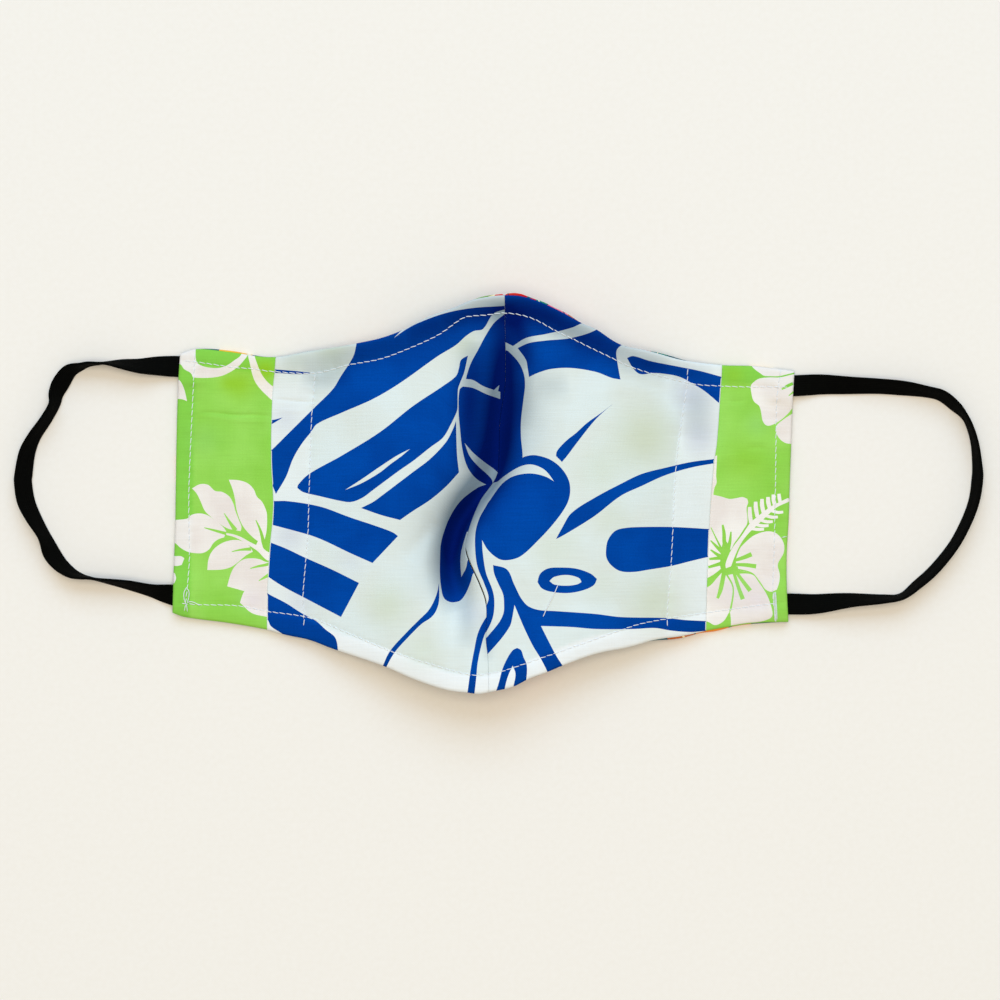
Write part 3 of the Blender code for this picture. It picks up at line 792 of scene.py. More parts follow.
# Points along each loop from its nose end: pixel of the photograph, roll of the strap in degrees
LEFT_LOOP = [
    (179, 366.5, 0), (160, 366, 20), (140, 366, 45), (121, 364, 65), (108, 363, 82),
    (97, 363.5, 90), (89, 364, 95), (82, 366, 101), (69.5, 371, 122), (61, 383, 135),
    (56, 393.5, 123), (54, 405, 110), (45.6, 420, 111), (34, 437, 116), (27, 453, 128),
    (23.5, 474, 136), (23, 483, 136), (26, 501.5, 136), (33.5, 518, 126), (44, 536, 116),
    (51.5, 553, 134), (60, 564.5, 126), (71, 573, 112), (81, 576.6, 98), (89, 578, 90),
    (102, 580.5, 82), (127.5, 585, 65), (153, 591, 50), (171, 594.5, 12), (174, 595, 0),
]
RIGHT_LOOP = [
    (795, 385.7, 0), (822, 384.5, 20), (850, 385.4, 38), (878, 386.2, 48), (903.5, 388.2, 52),
    (926.6, 391.7, 64), (942, 395.8, 66), (955.4, 406.3, 70), (965, 416.8, 84),
    (970.5, 428, 85), (975, 444.2, 82), (977.3, 465, 76), (977.5, 478, 71), (974.5, 499.3, 72),
    (967, 520.5, 72), (954, 545, 72), (935, 568.8, 71), (917, 585, 73), (902, 596.4, 80),
    (884, 599, 71), (850, 600.3, 52), (815, 604, 22), (789, 604, 0),
]


def elastic_outline():
    """Cross-section of the strap: rounded lengthwise ribs on both faces."""
    share = np.linspace(-1, 1, ELASTIC_RIBS * RIB_POINTS + 1)
    ribs = np.abs(np.cos(share * math.pi * ELASTIC_RIBS / 2)) ** RIB_ROUNDNESS
    rounding = np.sqrt(np.clip(1 - np.abs(share) ** EDGE_SQUARENESS, 0, 1))
    half = (ELASTIC_THICKNESS / 2 - RIB_DEPTH * (1 - ribs)) * rounding
    upper = np.column_stack([share * ELASTIC_WIDTH / 2, half])
    lower = np.column_stack([share[-2:0:-1] * ELASTIC_WIDTH / 2, -half[-2:0:-1]])
    return np.vstack([upper, lower])


def even_route(points, step):
    """Points at even steps along a smooth line through rows of numbers."""
    padded = np.vstack([2 * points[0] - points[1], points, 2 * points[-1] - points[-2]])
    fine = []
    for k in range(1, len(padded) - 2):
        p0, p1, p2, p3 = padded[k - 1 : k + 3]
        t = np.linspace(0, 1, BEND_POINTS, endpoint=False)[:, None]
        bent = (2 * p0 - 5 * p1 + 4 * p2 - p3) * t**2 + (3 * p1 - p0 - 3 * p2 + p3) * t**3
        fine.append((2 * p1 + (p2 - p0) * t + bent) / 2)
    fine = np.vstack(fine + [points[-1:]])
    length = np.concatenate([[0], np.cumsum(np.linalg.norm(np.diff(fine[:, :3], axis=0), axis=1))])
    even = np.linspace(0, length[-1], int(length[-1] / step) + 1)
    return np.column_stack([np.interp(even, length, column) for column in fine.T]), length[-1]


def braided_elastic():
    """Matt black synthetic thread, braided round rubber."""
    material, shader, place = new_finish("black_elastic_braid", "ShaderNodeAttribute", "Vector")
    place.socket.node.attribute_name = "threads"
    along, across = place.parts()[:2]
    slant = place.maths("SINE", (along + across * BRAID_SLANT) * (2 * math.pi / BRAID_PITCH))
    other = place.maths("SINE", (along - across * BRAID_SLANT) * (2 * math.pi / BRAID_PITCH))
    fuzz = {"Vector": place, "Scale": 1 / BRAID_FUZZ, "Detail": 2.0}
    noise = place.node("ShaderNodeTexNoise", {}, fuzz)
    height = slant * other * BRAID_RELIEF + noise * FUZZ_RELIEF
    height.emboss(shader, BRAID_STRENGTH)
    blended(place, linear(*ELASTIC_BLACK), linear(*ELASTIC_WORN), noise).feed(shader, "Base Color")
    smooth, rough = ELASTIC_ROUGHNESS
    (smooth + noise * (rough - smooth)).feed(shader, "Roughness")
    shader.inputs["Specular IOR Level"].default_value = ELASTIC_GLOSS
    return material


def unit(vectors):
    """Vectors of the same directions, each one long."""
    return vectors / np.linalg.norm(vectors, axis=1)[:, None]


def tube_faces(stations, around):
    """Faces of a tube between rings of points, with a cap at each end."""
    faces = []
    for station in range(stations - 1):
        for k in range(around):
            a, b = station * around + k, station * around + (k + 1) % around
            faces.append((a, b, b + around, a + around))
    last = (stations - 1) * around
    return faces + [tuple(range(around))[::-1], tuple(range(last, last + around))]


elastic = braided_elastic()
for side, bends in (("left", LEFT_LOOP), ("right", RIGHT_LOOP)):
    inward = 1 if side == "left" else -1
    bends = np.array(bends, float)
    roll = np.radians(bends[:, 2])
    resting = ELASTIC_WIDTH / 2 * np.abs(np.sin(roll))
    resting = resting + ELASTIC_THICKNESS / 2 * np.abs(np.cos(roll))
    floor = on_floor(bends[:, :2])
    out = np.hypot(*(floor - floor[0]).T)
    out = np.minimum(out, np.hypot(*(floor - floor[-1]).T))
    settled = ease(out / SETTLE_LENGTH)
    height = np.maximum(ENTRY_HEIGHT + (resting - ENTRY_HEIGHT) * settled, resting)
    route = np.column_stack([at_height(floor, height), height, roll])
    ends = route[[0, -1]] + [(inward * ELASTIC_TUCK, 0, 0, 0)] * 2
    route, elastic_length = even_route(np.vstack([ends[:1], route, ends[1:]]), ELASTIC_STEP)
    print(f"ear_loop_{side}: elastic {elastic_length / MM:.1f} mm")
    outline = elastic_outline()
    ahead = unit(np.gradient(route[:, :3], axis=0))
    level_way = unit(np.cross([0.0, 0.0, 1.0], ahead))
    up_way = np.cross(ahead, level_way)
    turn = route[:, 3:4]
    width_way = level_way * np.cos(turn) + up_way * np.sin(turn)
    face_way = np.cross(ahead, width_way)
    points = route[:, None, :3] + width_way[:, None] * outline[None, :, :1]
    points = points + face_way[:, None] * outline[None, :, 1:]
    points[:, :, 2] = np.maximum(points[:, :, 2], OFF_FLOOR)
    stations, around = points.shape[:2]
    faces = tube_faces(stations, around)
    name = f"ear_loop_{side}_elastic"
    loop_piece = new_piece(name, points.reshape(-1, 3).tolist(), faces, [elastic])
    along = loop_piece.data.attributes.new("threads", "FLOAT_VECTOR", "POINT")
    run = np.repeat(np.arange(stations) * ELASTIC_STEP, around)
    woven = np.column_stack([run, np.tile(outline, (stations, 1))])
    along.data.foreach_set("vector", woven.ravel().astype(np.float32))
    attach(loop_piece, "root")
    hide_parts(f"ear_loop_{side}")


# The side bands are strips of green cotton printed with pale hibiscus, one at each end of the
# inner side. Their outer edges are turned in with the outer layer and topstitched, and their
# inner edges run on under the lining's hem.
LEFT_HEM = [
    (276.5, 345), (275, 365), (272, 400), (271, 460), (273, 500), (272, 524), (270, 543),
    (268, 572), (267, 596), (267, 640),
]
RIGHT_HEM = [
    (722, 355), (722, 370), (720, 403), (717, 444), (714.5, 461), (711, 500), (709.5, 530),
    (708.6, 553), (707, 586), (706, 640),
]
HEM_OVERLAP = 3.0 * MM
HEM_DIP = 0.45 * MM
HEM_DIP_REACH = 1.6 * MM
HEM_SLACK = 0.25 * MM
BAND_GREEN = ((155, 219, 96), (143, 209, 80))
BAND_PETAL = ((232, 225, 221), (242, 239, 235))
# How each shows where it is doubled, over the yellow and the violet of the outer print, and the
# painted shade deep in a fold
GREEN_UNDER_AND_SHADE = [(134, 207, 78), (147, 201, 44), (150, 212, 120), (96, 162, 48)]
PETAL_UNDER_AND_SHADE = [(236, 233, 230), (236, 230, 205), (226, 218, 226), (186, 178, 172)]
LEFT_BAND_PETALS = [
    [(192, 488.4), (199.7, 484.3), (207.9, 484.8), (215, 490.9), (222.1, 491.9), (229.3, 496.5),
     (233.4, 503.7), (235.4, 510.8), (238.5, 519), (241.5, 527.1), (240.5, 531.2), (235.4, 530.2),
     (228.3, 528.7), (220.1, 524.1), (209.9, 515.9), (204.8, 510.8), (200.7, 501.6),
     (196.6, 493.5)],
    [(228.8, 479.7), (238.5, 480.2), (247.7, 483.3), (253.8, 489.4), (256.8, 496.5),
     (261.9, 501.6), (265.5, 508.8), (267, 514.9), (266.5, 531.2), (263.5, 543.5),
     (256.8, 540.4), (250.7, 535.3), (243.6, 527.1), (239.5, 519), (236.4, 508.8),
     (234.9, 498.6), (232.3, 488.4)],
    [(166, 521), (174.7, 520), (187.4, 518.5), (191.5, 514.9), (199.7, 513.4), (207.9, 515.4),
     (216, 521), (223.2, 527.1), (226.2, 531.2), (224.2, 537.3), (218.1, 539.4), (213, 543.5),
     (209.9, 548.6), (203.8, 552.7), (195.6, 553.2), (187.4, 551.6), (180.3, 547.6),
     (174.7, 543), (166, 542)],
    [(207.3, 570), (208.4, 559.8), (211.9, 551.6), (218.1, 545.5), (226.2, 541.4),
     (236.4, 539.9), (244.6, 542.4), (249.7, 546.5), (252.8, 551.6), (245.6, 555.7),
     (238.5, 561.8), (231.3, 566.9), (222.1, 569.5)],
    [(227.2, 586.3), (230.3, 575.1), (234.4, 566.9), (242.6, 559.8), (251.7, 558.3),
     (259.9, 559.3), (265.5, 561.8), (276, 563), (276, 592), (246.6, 591.4), (236.4, 588.9)],
    [(240, 602.7), (243.6, 592.4), (246.6, 590), (276, 586), (276, 619), (267, 616.9),
     (251.7, 612.9)],
    [(166, 556), (174.7, 556.2), (181.3, 556.2), (184.4, 558.3), (181.8, 564.9), (177.2, 565.9),
     (166, 566)],
    [(166, 573), (174.7, 573), (176.2, 578.2), (174.2, 583.3), (166, 584)],
    [(170, 345), (195.5, 343), (196.4, 361.4), (200.6, 365.2), (208.3, 367.5), (219, 367.9),
     (227.4, 365.2), (235, 359.9), (240.4, 355.7), (244, 345), (250, 345), (247.3, 355.7),
     (245, 359.1), (238.9, 366), (231.2, 371.4), (223.6, 375.2), (215.9, 377.1), (204.4, 377.9),
     (193, 377.5), (190.7, 373), (184, 369), (180.7, 364.5), (170, 360)],
    [(247, 345), (248, 355.7), (249.6, 362.2), (251.9, 372.9), (254.9, 381.3), (260.3, 389),
     (267.9, 396.6), (272.9, 401.2), (284, 409), (284, 392), (274, 386.7), (271, 385.1),
     (265.6, 379.8), (261, 372.9), (257.2, 363.7), (254.5, 355.7), (253, 345)],
    [(170, 380), (179.2, 379.8), (181.5, 382.8), (184.5, 389.7), (187.2, 401.2), (182.2, 399.3),
     (176.9, 398.9), (170, 398)],
]
# Strokes of the print, along their middles: pixel, and how wide the stroke is there in pixels
LEFT_BAND_RAYS = [
    [(224.2, 513.4, 0.8), (229, 521, 2.4), (235.5, 530.5, 4.8)],
    [(255.8, 520, 0.9), (259.5, 528, 2.2), (262, 536, 3.2), (264.5, 548, 4.4)],
    [(204.3, 527.7, 0.8), (214, 530.3, 2.2), (225.5, 533.4, 3.2)],
    [(231.8, 551.6, 0.8), (240.5, 549.8, 2), (251, 549, 3.6)],
    [(250.2, 568.5, 0.8), (258, 566.3, 2.2), (265.5, 564.9, 2.8), (276, 562, 3.6)],
    [(258.9, 580.7, 0.8), (267, 576, 3.2), (276, 571, 6)],
]
LEFT_BAND_STAMEN = [
    [(226, 533), (233, 534.2), (241, 537), (249, 541.5), (256, 545), (258.5, 540), (261, 541.5),
     (264, 549), (276, 556), (276, 564), (266, 559.5), (258, 551.5), (250, 546), (242, 541),
     (234, 537), (226.5, 535)],
]
RIGHT_BAND_PETALS = [
    [(700, 494), (712.5, 494.7), (721.3, 496.6), (729.6, 498.9), (737, 498), (742.6, 497),
     (747.2, 498.9), (748.2, 502.6), (746.8, 506.3), (746.6, 510.9), (747.4, 517.4),
     (747, 523.9), (743.6, 529.4), (738.9, 536.8), (734.2, 543.3), (730.5, 549.8), (724, 552),
     (720.8, 548.8), (711, 527.6), (700, 520)],
    [(700, 520), (711, 527.6), (716, 538), (720.8, 548.8), (723, 556), (721, 570), (708.3, 579),
     (700, 583)],
    [(736, 560), (739.8, 548.8), (743.5, 544.2), (751.8, 536.8), (759.2, 533.1), (768.5, 531.3),
     (775.9, 533.1), (781.4, 538.7), (784.2, 546), (783.3, 553.5), (778.6, 561.8),
     (777.7, 566.4), (779.6, 573.8), (779.1, 582.1), (776.8, 589.5), (771.2, 591.8),
     (765.7, 589.5), (759, 582), (752, 574), (737, 570)],
    [(728, 575), (734, 574), (752, 574.5), (759, 582.5), (766.6, 594.2), (770.3, 603.4),
     (772.6, 614.5), (770.3, 618.2), (759.2, 621.9), (748.1, 622.8), (730.5, 625.6),
     (729.6, 614.5), (731, 609), (734, 593), (733, 585)],
    [(700, 588), (708.3, 586), (721, 572), (727, 576), (732, 585), (732.5, 593),
     (729.6, 609.9), (727.8, 616.4), (721.3, 622.8), (714.8, 625.1), (708.3, 621.9),
     (700, 620)],
    [(744, 350), (752.2, 366.5), (756, 370.3), (760.5, 373.5), (763.7, 375.7), (770, 376.2),
     (778.4, 376.2), (783.5, 375.2), (793.7, 372.7), (804, 370.8), (804, 350)],
    [(751, 385.6), (754.1, 381.8), (759.2, 378.6), (770, 377.4), (779.6, 377.4), (792, 374.6),
     (804, 372.2), (804, 402), (792.4, 408.6), (787.9, 413.7), (782.2, 418.8), (775.8, 423.2),
     (768.8, 425.8), (765, 424.5), (762.4, 420), (761.1, 412.4), (759.2, 406), (754.1, 401.6),
     (751.9, 395.8)],
    [(776.5, 425.8), (780.9, 421.3), (791.8, 414), (804, 408), (804, 443.6), (787.9, 443.6),
     (782.8, 441.7), (778.4, 437.3), (776.1, 431.5)],
    [(708, 456), (717.2, 455.6), (716.6, 466), (716.2, 476), (716.6, 483), (714.4, 488),
     (713.2, 496), (708, 498)],
]
RIGHT_BAND_RAYS = [
    [(725, 542, 4), (725.5, 550, 9), (726, 558, 11), (725, 566, 10), (725.5, 573, 5)],
    [(711, 527.6, 0.9), (716, 538, 1.4), (721.5, 549, 2.2)],
    [(722.7, 524.8, 2), (724, 533, 3.4), (724.4, 542, 4), (726.5, 550, 5)],
    [(731, 531.7, 1.4), (730, 541, 3), (727.8, 550, 4.4)],
    [(710.6, 540.5, 1.2), (716, 546, 2.8), (722, 552, 4)],
    [(710.6, 549.8, 1.4), (718.5, 555.3, 3.6), (723, 557, 4.4)],
    [(709.3, 559, 2.2), (720.4, 558, 3.6), (724, 558, 4)],
    [(708.3, 567.3, 2.4), (720.4, 563.6, 3.8), (724, 562, 4)],
    [(700, 586, 9), (708.3, 582, 8), (715, 576.5, 5), (723, 569, 3)],
    [(717.6, 598.4, 2.6), (720.5, 590, 4.2), (722.6, 580, 4.4), (724.5, 570, 4.4)],
    [(751.6, 554.2, 4.6), (744, 557.4, 4), (735, 560.4, 3)],
    [(756.2, 566.4, 4.4), (746, 565, 3.8), (736, 564.6, 3)],
    [(750.2, 590.8, 4.4), (742, 580, 3.6), (734, 569, 3)],
    [(742.8, 599.2, 4.4), (738, 586, 3.6), (733.5, 571.5, 3)],
    [(727, 569, 6), (732, 569, 6), (738, 568.5, 4)],
    [(737, 569.2, 1.5), (751.8, 573.2, 1.2), (759.2, 581.4, 1.1), (767, 593.6, 1.1)],
    [(726.8, 574.7, 1.8), (732.4, 584.9, 1.5), (733.3, 593.2, 1.4), (730.5, 610, 1.9)],
    [(729.4, 613, 1.5), (728, 620, 6), (725, 628, 12)],
    [(781.6, 389.4, 1.5), (787, 386.2, 3), (793, 383.4, 3)],
    [(788.6, 395.8, 0.9), (793.6, 391.8, 1.8)],
]
RIGHT_BAND_STAMEN = [
    [(725.9, 568.3), (725.4, 564.6), (727.8, 557.2), (732.4, 547.9), (740.7, 536.8),
     (746.3, 528.5), (750.5, 522.5), (757, 517), (763, 512.2), (770, 507), (779, 502.2),
     (788, 498), (792, 500.5), (776.8, 507.4), (764.8, 518), (753.7, 528.3), (748.1, 533.8),
     (741.6, 542.4), (736, 553.5), (731, 566.4)],
]
RIGHT_BAND_FRONDS = [
    [(749.6, 507, 3.4), (749.8, 514, 4.2), (751, 523, 3.8)],
    [(755.6, 501.7, 3.4), (755.8, 508, 4.2), (757.4, 517, 3.8)],
    [(762, 498.9, 3.4), (762, 505, 4.2), (763.6, 513, 3.8)],
    [(768, 497, 3.4), (768.2, 502, 4.2), (770, 509, 3.8)],
    [(773.3, 494.5, 3.4), (773.6, 500, 4), (775, 506, 3.6)],
    [(778.9, 493.8, 3.2), (779.3, 498, 3.6), (780.4, 503.5, 3)],
    [(764, 529.2, 2.6), (758, 529.4, 3.2), (751, 528.6, 2.8)],
    [(768.6, 525.6, 2.6), (762, 525.8, 3.2), (755, 524.4, 2.8)],
    [(772.8, 521.6, 2.6), (767, 521.8, 3.2), (760, 520, 2.8)],
    [(777.8, 517, 2.6), (772, 517.2, 3.2), (765.4, 515.6, 2.8)],
    [(783.2, 512, 2.6), (778, 512.4, 3), (771.5, 510.8, 2.8)],
]
# What shows faintly through the inner cloth: pixel, reach in pixels, yellow-green or violet share
SHOWING_THROUGH = [
    ((645, 438), 34, 0.9), ((600, 472), 22, 0.45), ((655, 602), 28, 0.75), ((556, 548), 24, 0.4),
    ((332, 352), 20, 0.8), ((295, 362), 16, 0.5), ((388, 606), 22, 0.7), ((422, 650), 18, 0.45),
    ((612, 520), 20, 0.4), ((600, 585), 18, 0.3), ((465, 345), 14, 0.6), ((690, 395), 20, -0.7),
    ((698, 438), 18, -0.75), ((290, 536), 16, -0.6), ((286, 420), 14, -0.45),
    ((300, 602), 16, -0.5), ((474, 612), 14, -0.4), ((350, 560), 16, -0.3),
    ((240, 384), 15, 0.8), ((265, 370), 11, 0.95), ((226, 383), 8, 0.4), ((745, 462), 24, 0.35),
    ((733, 375), 12, 0.5), ((757, 425), 12, -0.4), ((205, 440), 16, -0.3),
    ((736, 590), 12, -0.5), ((758, 600), 12, -0.5), ((252, 600), 12, -0.5),
]
# Creases and soft folds of the inner face: their line in pixels, height and reach in mm
FOLDS = [
    ([(198, 412.5), (215, 413), (235, 415), (255, 415), (273, 416.5)], -0.50, 0.45),
    ([(205, 417), (235, 420.5), (273, 422)], 0.20, 0.70),
    ([(274, 399), (300, 401.5), (320, 402)], -0.34, 0.45),
    ([(276, 410), (296, 411), (312, 409)], 0.16, 0.70),
    ([(407, 560), (416, 547), (428, 532), (438, 520)], -0.60, 2.20),
    ([(440, 610), (437, 640), (436, 668)], 0.55, 2.60),
    ([(455, 603), (452, 640), (450, 672)], -0.45, 2.40),
    ([(470, 600), (468, 635), (464, 668)], 0.45, 2.20),
    ([(410, 600), (418, 632), (424, 655)], -0.35, 2.80),
    ([(534, 600), (600, 604), (650, 600)], -0.22, 2.60),
    ([(596, 392), (630, 388), (665, 392)], 0.22, 2.40),
    ([(590, 372), (640, 382), (684, 400)], -0.18, 1.60),
    ([(727, 401), (737, 402), (746, 400)], -0.25, 0.60),
    ([(745, 448), (760, 447.5), (768, 449)], -0.25, 0.60),
    ([(716, 460), (735, 456), (756, 462)], 0.18, 1.60),
    ([(312, 560), (345, 573), (368, 566)], 0.20, 2.20),
]

# Painted shade in folds and along turned edges: line in pixels, how deep, and reach in mm
SHADED = [
    ([(504, 300), (504, 350), (502, 385), (499, 420), (495, 450), (486, 478), (468, 502),
      (455, 530), (450, 560), (452, 590), (457, 612)], 1.15, 4.2),
    ([(505, 310), (506, 350), (508, 390), (508, 430), (497, 460), (477, 486), (455, 510),
      (446, 540), (446, 575), (450, 600)], 0.50, 10.0),
    ([(405, 336), (446, 320), (470, 312), (504, 308), (540, 314), (571, 329), (600, 344),
      (640, 360), (670, 368)], 0.85, 4.4),
    ([(272, 362), (310, 362), (345, 357), (380, 348), (415, 333), (440, 322)], 0.42, 4.0),
    ([(630, 360), (670, 368), (715, 376)], 0.35, 2.6),
    ([(300, 376), (325, 380), (352, 372)], 0.35, 3.4),
    ([(536, 384), (552, 386), (570, 384)], 0.22, 4.0),
    ([(698, 380), (697, 410), (694, 440)], 0.32, 5.0),
    ([(462, 596), (468, 620), (468, 650)], 0.30, 3.0),
    ([(487, 612), (487, 640), (489, 662)], 0.34, 1.6),
    ([(519, 350), (527, 372), (526, 400), (524, 430)], 0.25, 3.0),
    ([(475, 340), (472, 365), (469, 395), (467, 425), (466, 448), (468, 470)], 0.75, 3.9),
    ([(512, 314), (522, 334), (526, 350), (527, 370)], 0.50, 2.6),
]

left_hem, right_hem = drawn(LEFT_HEM), drawn(RIGHT_HEM)
fold_lines = [drawn(line) for line, _, _ in FOLDS]
shade_lines = [drawn(line) for line, _, _ in SHADED]
RIPPLE_WAVES = 9
RIPPLE_LENGTHS = (0.7, 1.5)
RIPPLE_HEIGHT = 3.5


def stroke(route):
    """Closed outline of a stroke, from points of its middle and its width at each."""
    route = np.array(route, float)
    middle, width = route[:, :2], route[:, 2:]
    ways = np.gradient(middle, axis=0)
    aside = np.column_stack([ways[:, 1], -ways[:, 0]]) / np.hypot(*ways.T)[:, None] * width / 2
    return np.vstack([middle + aside, (middle - aside)[::-1]])


def ripples(places, length, seed):
    """Soft undulation of cloth, between about -1 and 1."""
    chance = np.random.default_rng(seed)
    total = np.zeros(len(places))
    for _ in range(RIPPLE_WAVES):
        angle, phase = chance.uniform(0, 2 * math.pi, 2)
        wave = 2 * math.pi / (length * chance.uniform(*RIPPLE_LENGTHS))
        total += np.sin(wave * (places @ (math.cos(angle), math.sin(angle))) + phase)
    return total / RIPPLE_HEIGHT


SEAM_ALLOWANCE = 5.6 * MM
ALLOWANCE_FADE = MM
ALLOWANCE_EARLY = 0.8 * MM
EDGE_PUFF = 0.26 * MM
PUCKER = 0.11 * MM
PUCKER_REACH = 3.2 * MM
PUCKER_PITCH = 4.6 * MM
PUCKER_WANDER = 9 * MM
PUCKER_GROUP = 17 * MM
PUCKER_UNEVEN = 2.5


def pressed_edge(places, edges, lines):
    """Relief of a turned and topstitched edge: puffed between edge and stitches, and puckered."""
    from_edge = distance(places, *edges)
    relief = EDGE_PUFF * np.sin(math.pi * np.clip(from_edge / SEAM_ALLOWANCE, 0, 1))
    for number, line in enumerate(lines):
        away, along = nearest(places, line)
        wander = PUCKER_UNEVEN * np.sin(along / PUCKER_WANDER)
        wave = np.sin(2 * math.pi * along / PUCKER_PITCH + wander)
        strength = 0.5 + 0.5 * np.sin(along / PUCKER_GROUP + number)
        relief += PUCKER * wave * strength * np.exp(-((away / PUCKER_REACH) ** 2))
    return relief


LINE_FADE = 0.6


def along_lines(places, lines, values):
    """Sum of what each line gives to the places near it, fading out at the line's ends."""
    total = np.zeros(len(places))
    for line, (_, share, reach) in zip(lines, values):
        away, along = nearest(places, line)
        length = np.hypot(*np.diff(line, axis=0).T).sum()
        fading = np.sin(math.pi * np.clip(along / length, 0, 1)) ** LINE_FADE
        total += share * fading * np.exp(-((away / (reach * MM)) ** 2))
    return total


def folded(places):
    """Relief of the creases and soft folds."""
    return along_lines(places, fold_lines, FOLDS) * MM


def turned_under(from_edge):
    """Share of the cloth that lies double, over its allowance, at a distance from its edge."""
    return 1 - ease((from_edge - SEAM_ALLOWANCE + ALLOWANCE_EARLY) / ALLOWANCE_FADE)


def shown_below_and_painted_shade(places, double):
    """Rows that say how each place looks: the print beneath, if double, and its painted shade."""
    tint = np.zeros(len(places))
    for pixel, reach, share in SHOWING_THROUGH:
        away = np.hypot(*(places - on_cloth([pixel])[0]).T) / (reach * PIXEL)
        tint += share * np.exp(-(away**2))
    return np.column_stack([tint, double, along_lines(places, shade_lines, SHADED)])


band_cottons = [
    cotton("band_cotton_green", *BAND_GREEN, slub_depth=0.04, speck_depth=0.04, under=GREEN_UNDER_AND_SHADE),
    cotton("band_cotton_petal", *BAND_PETAL, slub_depth=0.03, under=PETAL_UNDER_AND_SHADE),
]
# A line this far inwards of the hem tells the places beyond it from those on the near side
FAR_IN = 40 * MM
BAND_RIPPLE = 0.10 * MM
BAND_RIPPLE_LENGTH = 16 * MM
BAND_RIPPLE_SEED = 3
for side, edge, hem, petals, rays, stamens in (
    ("left", left_edge, left_hem, LEFT_BAND_PETALS, LEFT_BAND_RAYS, LEFT_BAND_STAMEN),
    (
        "right",
        right_edge,
        right_hem,
        RIGHT_BAND_PETALS,
        RIGHT_BAND_RAYS,
        RIGHT_BAND_STAMEN + [stroke(frond) for frond in RIGHT_BAND_FRONDS],
    ),
):
    inward = -1 if side == "left" else 1
    outline = panel_outline(moved(hem, inward * HEM_OVERLAP), edge)
    print_shapes = petals + [stroke(ray) for ray in rays] + stamens
    shapes = [drawn(shape, closed=True) for shape in print_shapes]
    rows = [stitch_lines[side], stitch_lines["nose"], stitch_lines["chin"]]
    places, faces, printed = cut(outline, shapes, rows + fold_lines)
    slots = np.array([1] * len(petals) + [0] * len(rays) + [1] * len(stamens) + [0])[printed]
    past_hem = distance(places, moved(hem, inward * FAR_IN))
    under = ease((FAR_IN + HEM_DIP_REACH - past_hem) / (2 * HEM_DIP_REACH))
    top = inner_face.height(places) - HEM_DIP * under
    bottom = top - CLOTH_THICKNESS + HEM_SLACK * under
    edges = [edge, nose_edge, chin_edge]
    rippled = BAND_RIPPLE * ripples(places, BAND_RIPPLE_LENGTH, BAND_RIPPLE_SEED)
    relief = pressed_edge(places, edges, rows) + (rippled + folded(places))
    relief -= drawn_in(places, rows)
    top += relief * (1 - under) - rolled(distance(places, *edges), TURNED_EDGE)
    top = np.maximum(top, bottom + LEAST_CLOTH)
    name = f"side_band_{side}_cloth"
    piece, area = sewn(name, places, faces, slots, top, bottom, inner_face, band_cottons)
    doubled_edges = [edge, nose_edge] if side == "left" else [nose_edge]
    double = turned_under(distance(places, *doubled_edges))
    marked(piece, "below_and_painted_shade", shown_below_and_painted_shade(places, double))
    laid(piece, outline, f"side_band_{side}")


# The lining is what touches the face: two panels of pale cotton with a bold blue leaf print,
# joined at the centre seam and turned in with the outer layer along the nose and chin edges. Its
# sides are hemmed and lie open over the side bands.
HEM_RISE = 0.42 * MM
HEM_WIDTH = 11.5 * MM
HEM_EDGE = 0.40 * MM
HEM_TAPER = 0.35
HEM_FADE = 3.0 * MM
HEM_WORN = 0.45 * MM
HEM_DOUBLE = 0.45
CHIN_DOUBLE = 1.0
NOSE_DOUBLE = 0.3
LINING_RIPPLE = 0.12 * MM
LINING_RIPPLE_LENGTH = 22 * MM
LINING_RIPPLE_SEED = 11
LINING_BLUE = ((0, 65, 157), (0, 72, 168))
LINING_GROUND = ((220, 230, 228), (222, 235, 237))
# How each shows doubled, over yellow, over violet, and the painted shade deep in a fold
BLUE_UNDER_AND_SHADE = [(0, 62, 150), (0, 64, 152), (0, 64, 160), (0, 22, 98)]
GROUND_UNDER_AND_SHADE = [(236, 242, 245), (206, 217, 196), (203, 210, 224), (132, 152, 166)]
LEFT_HEM_STITCHES = [
    (315, 373), (312, 411), (311, 432), (309.5, 478), (308.7, 508), (308, 532), (305.5, 564),
    (303, 597), (304, 620), (303.5, 632),
]
RIGHT_HEM_STITCHES = [
    (687.5, 367), (687, 384), (681, 425), (676, 466), (673, 526), (671, 565), (667, 618),
    (668.5, 631),
]
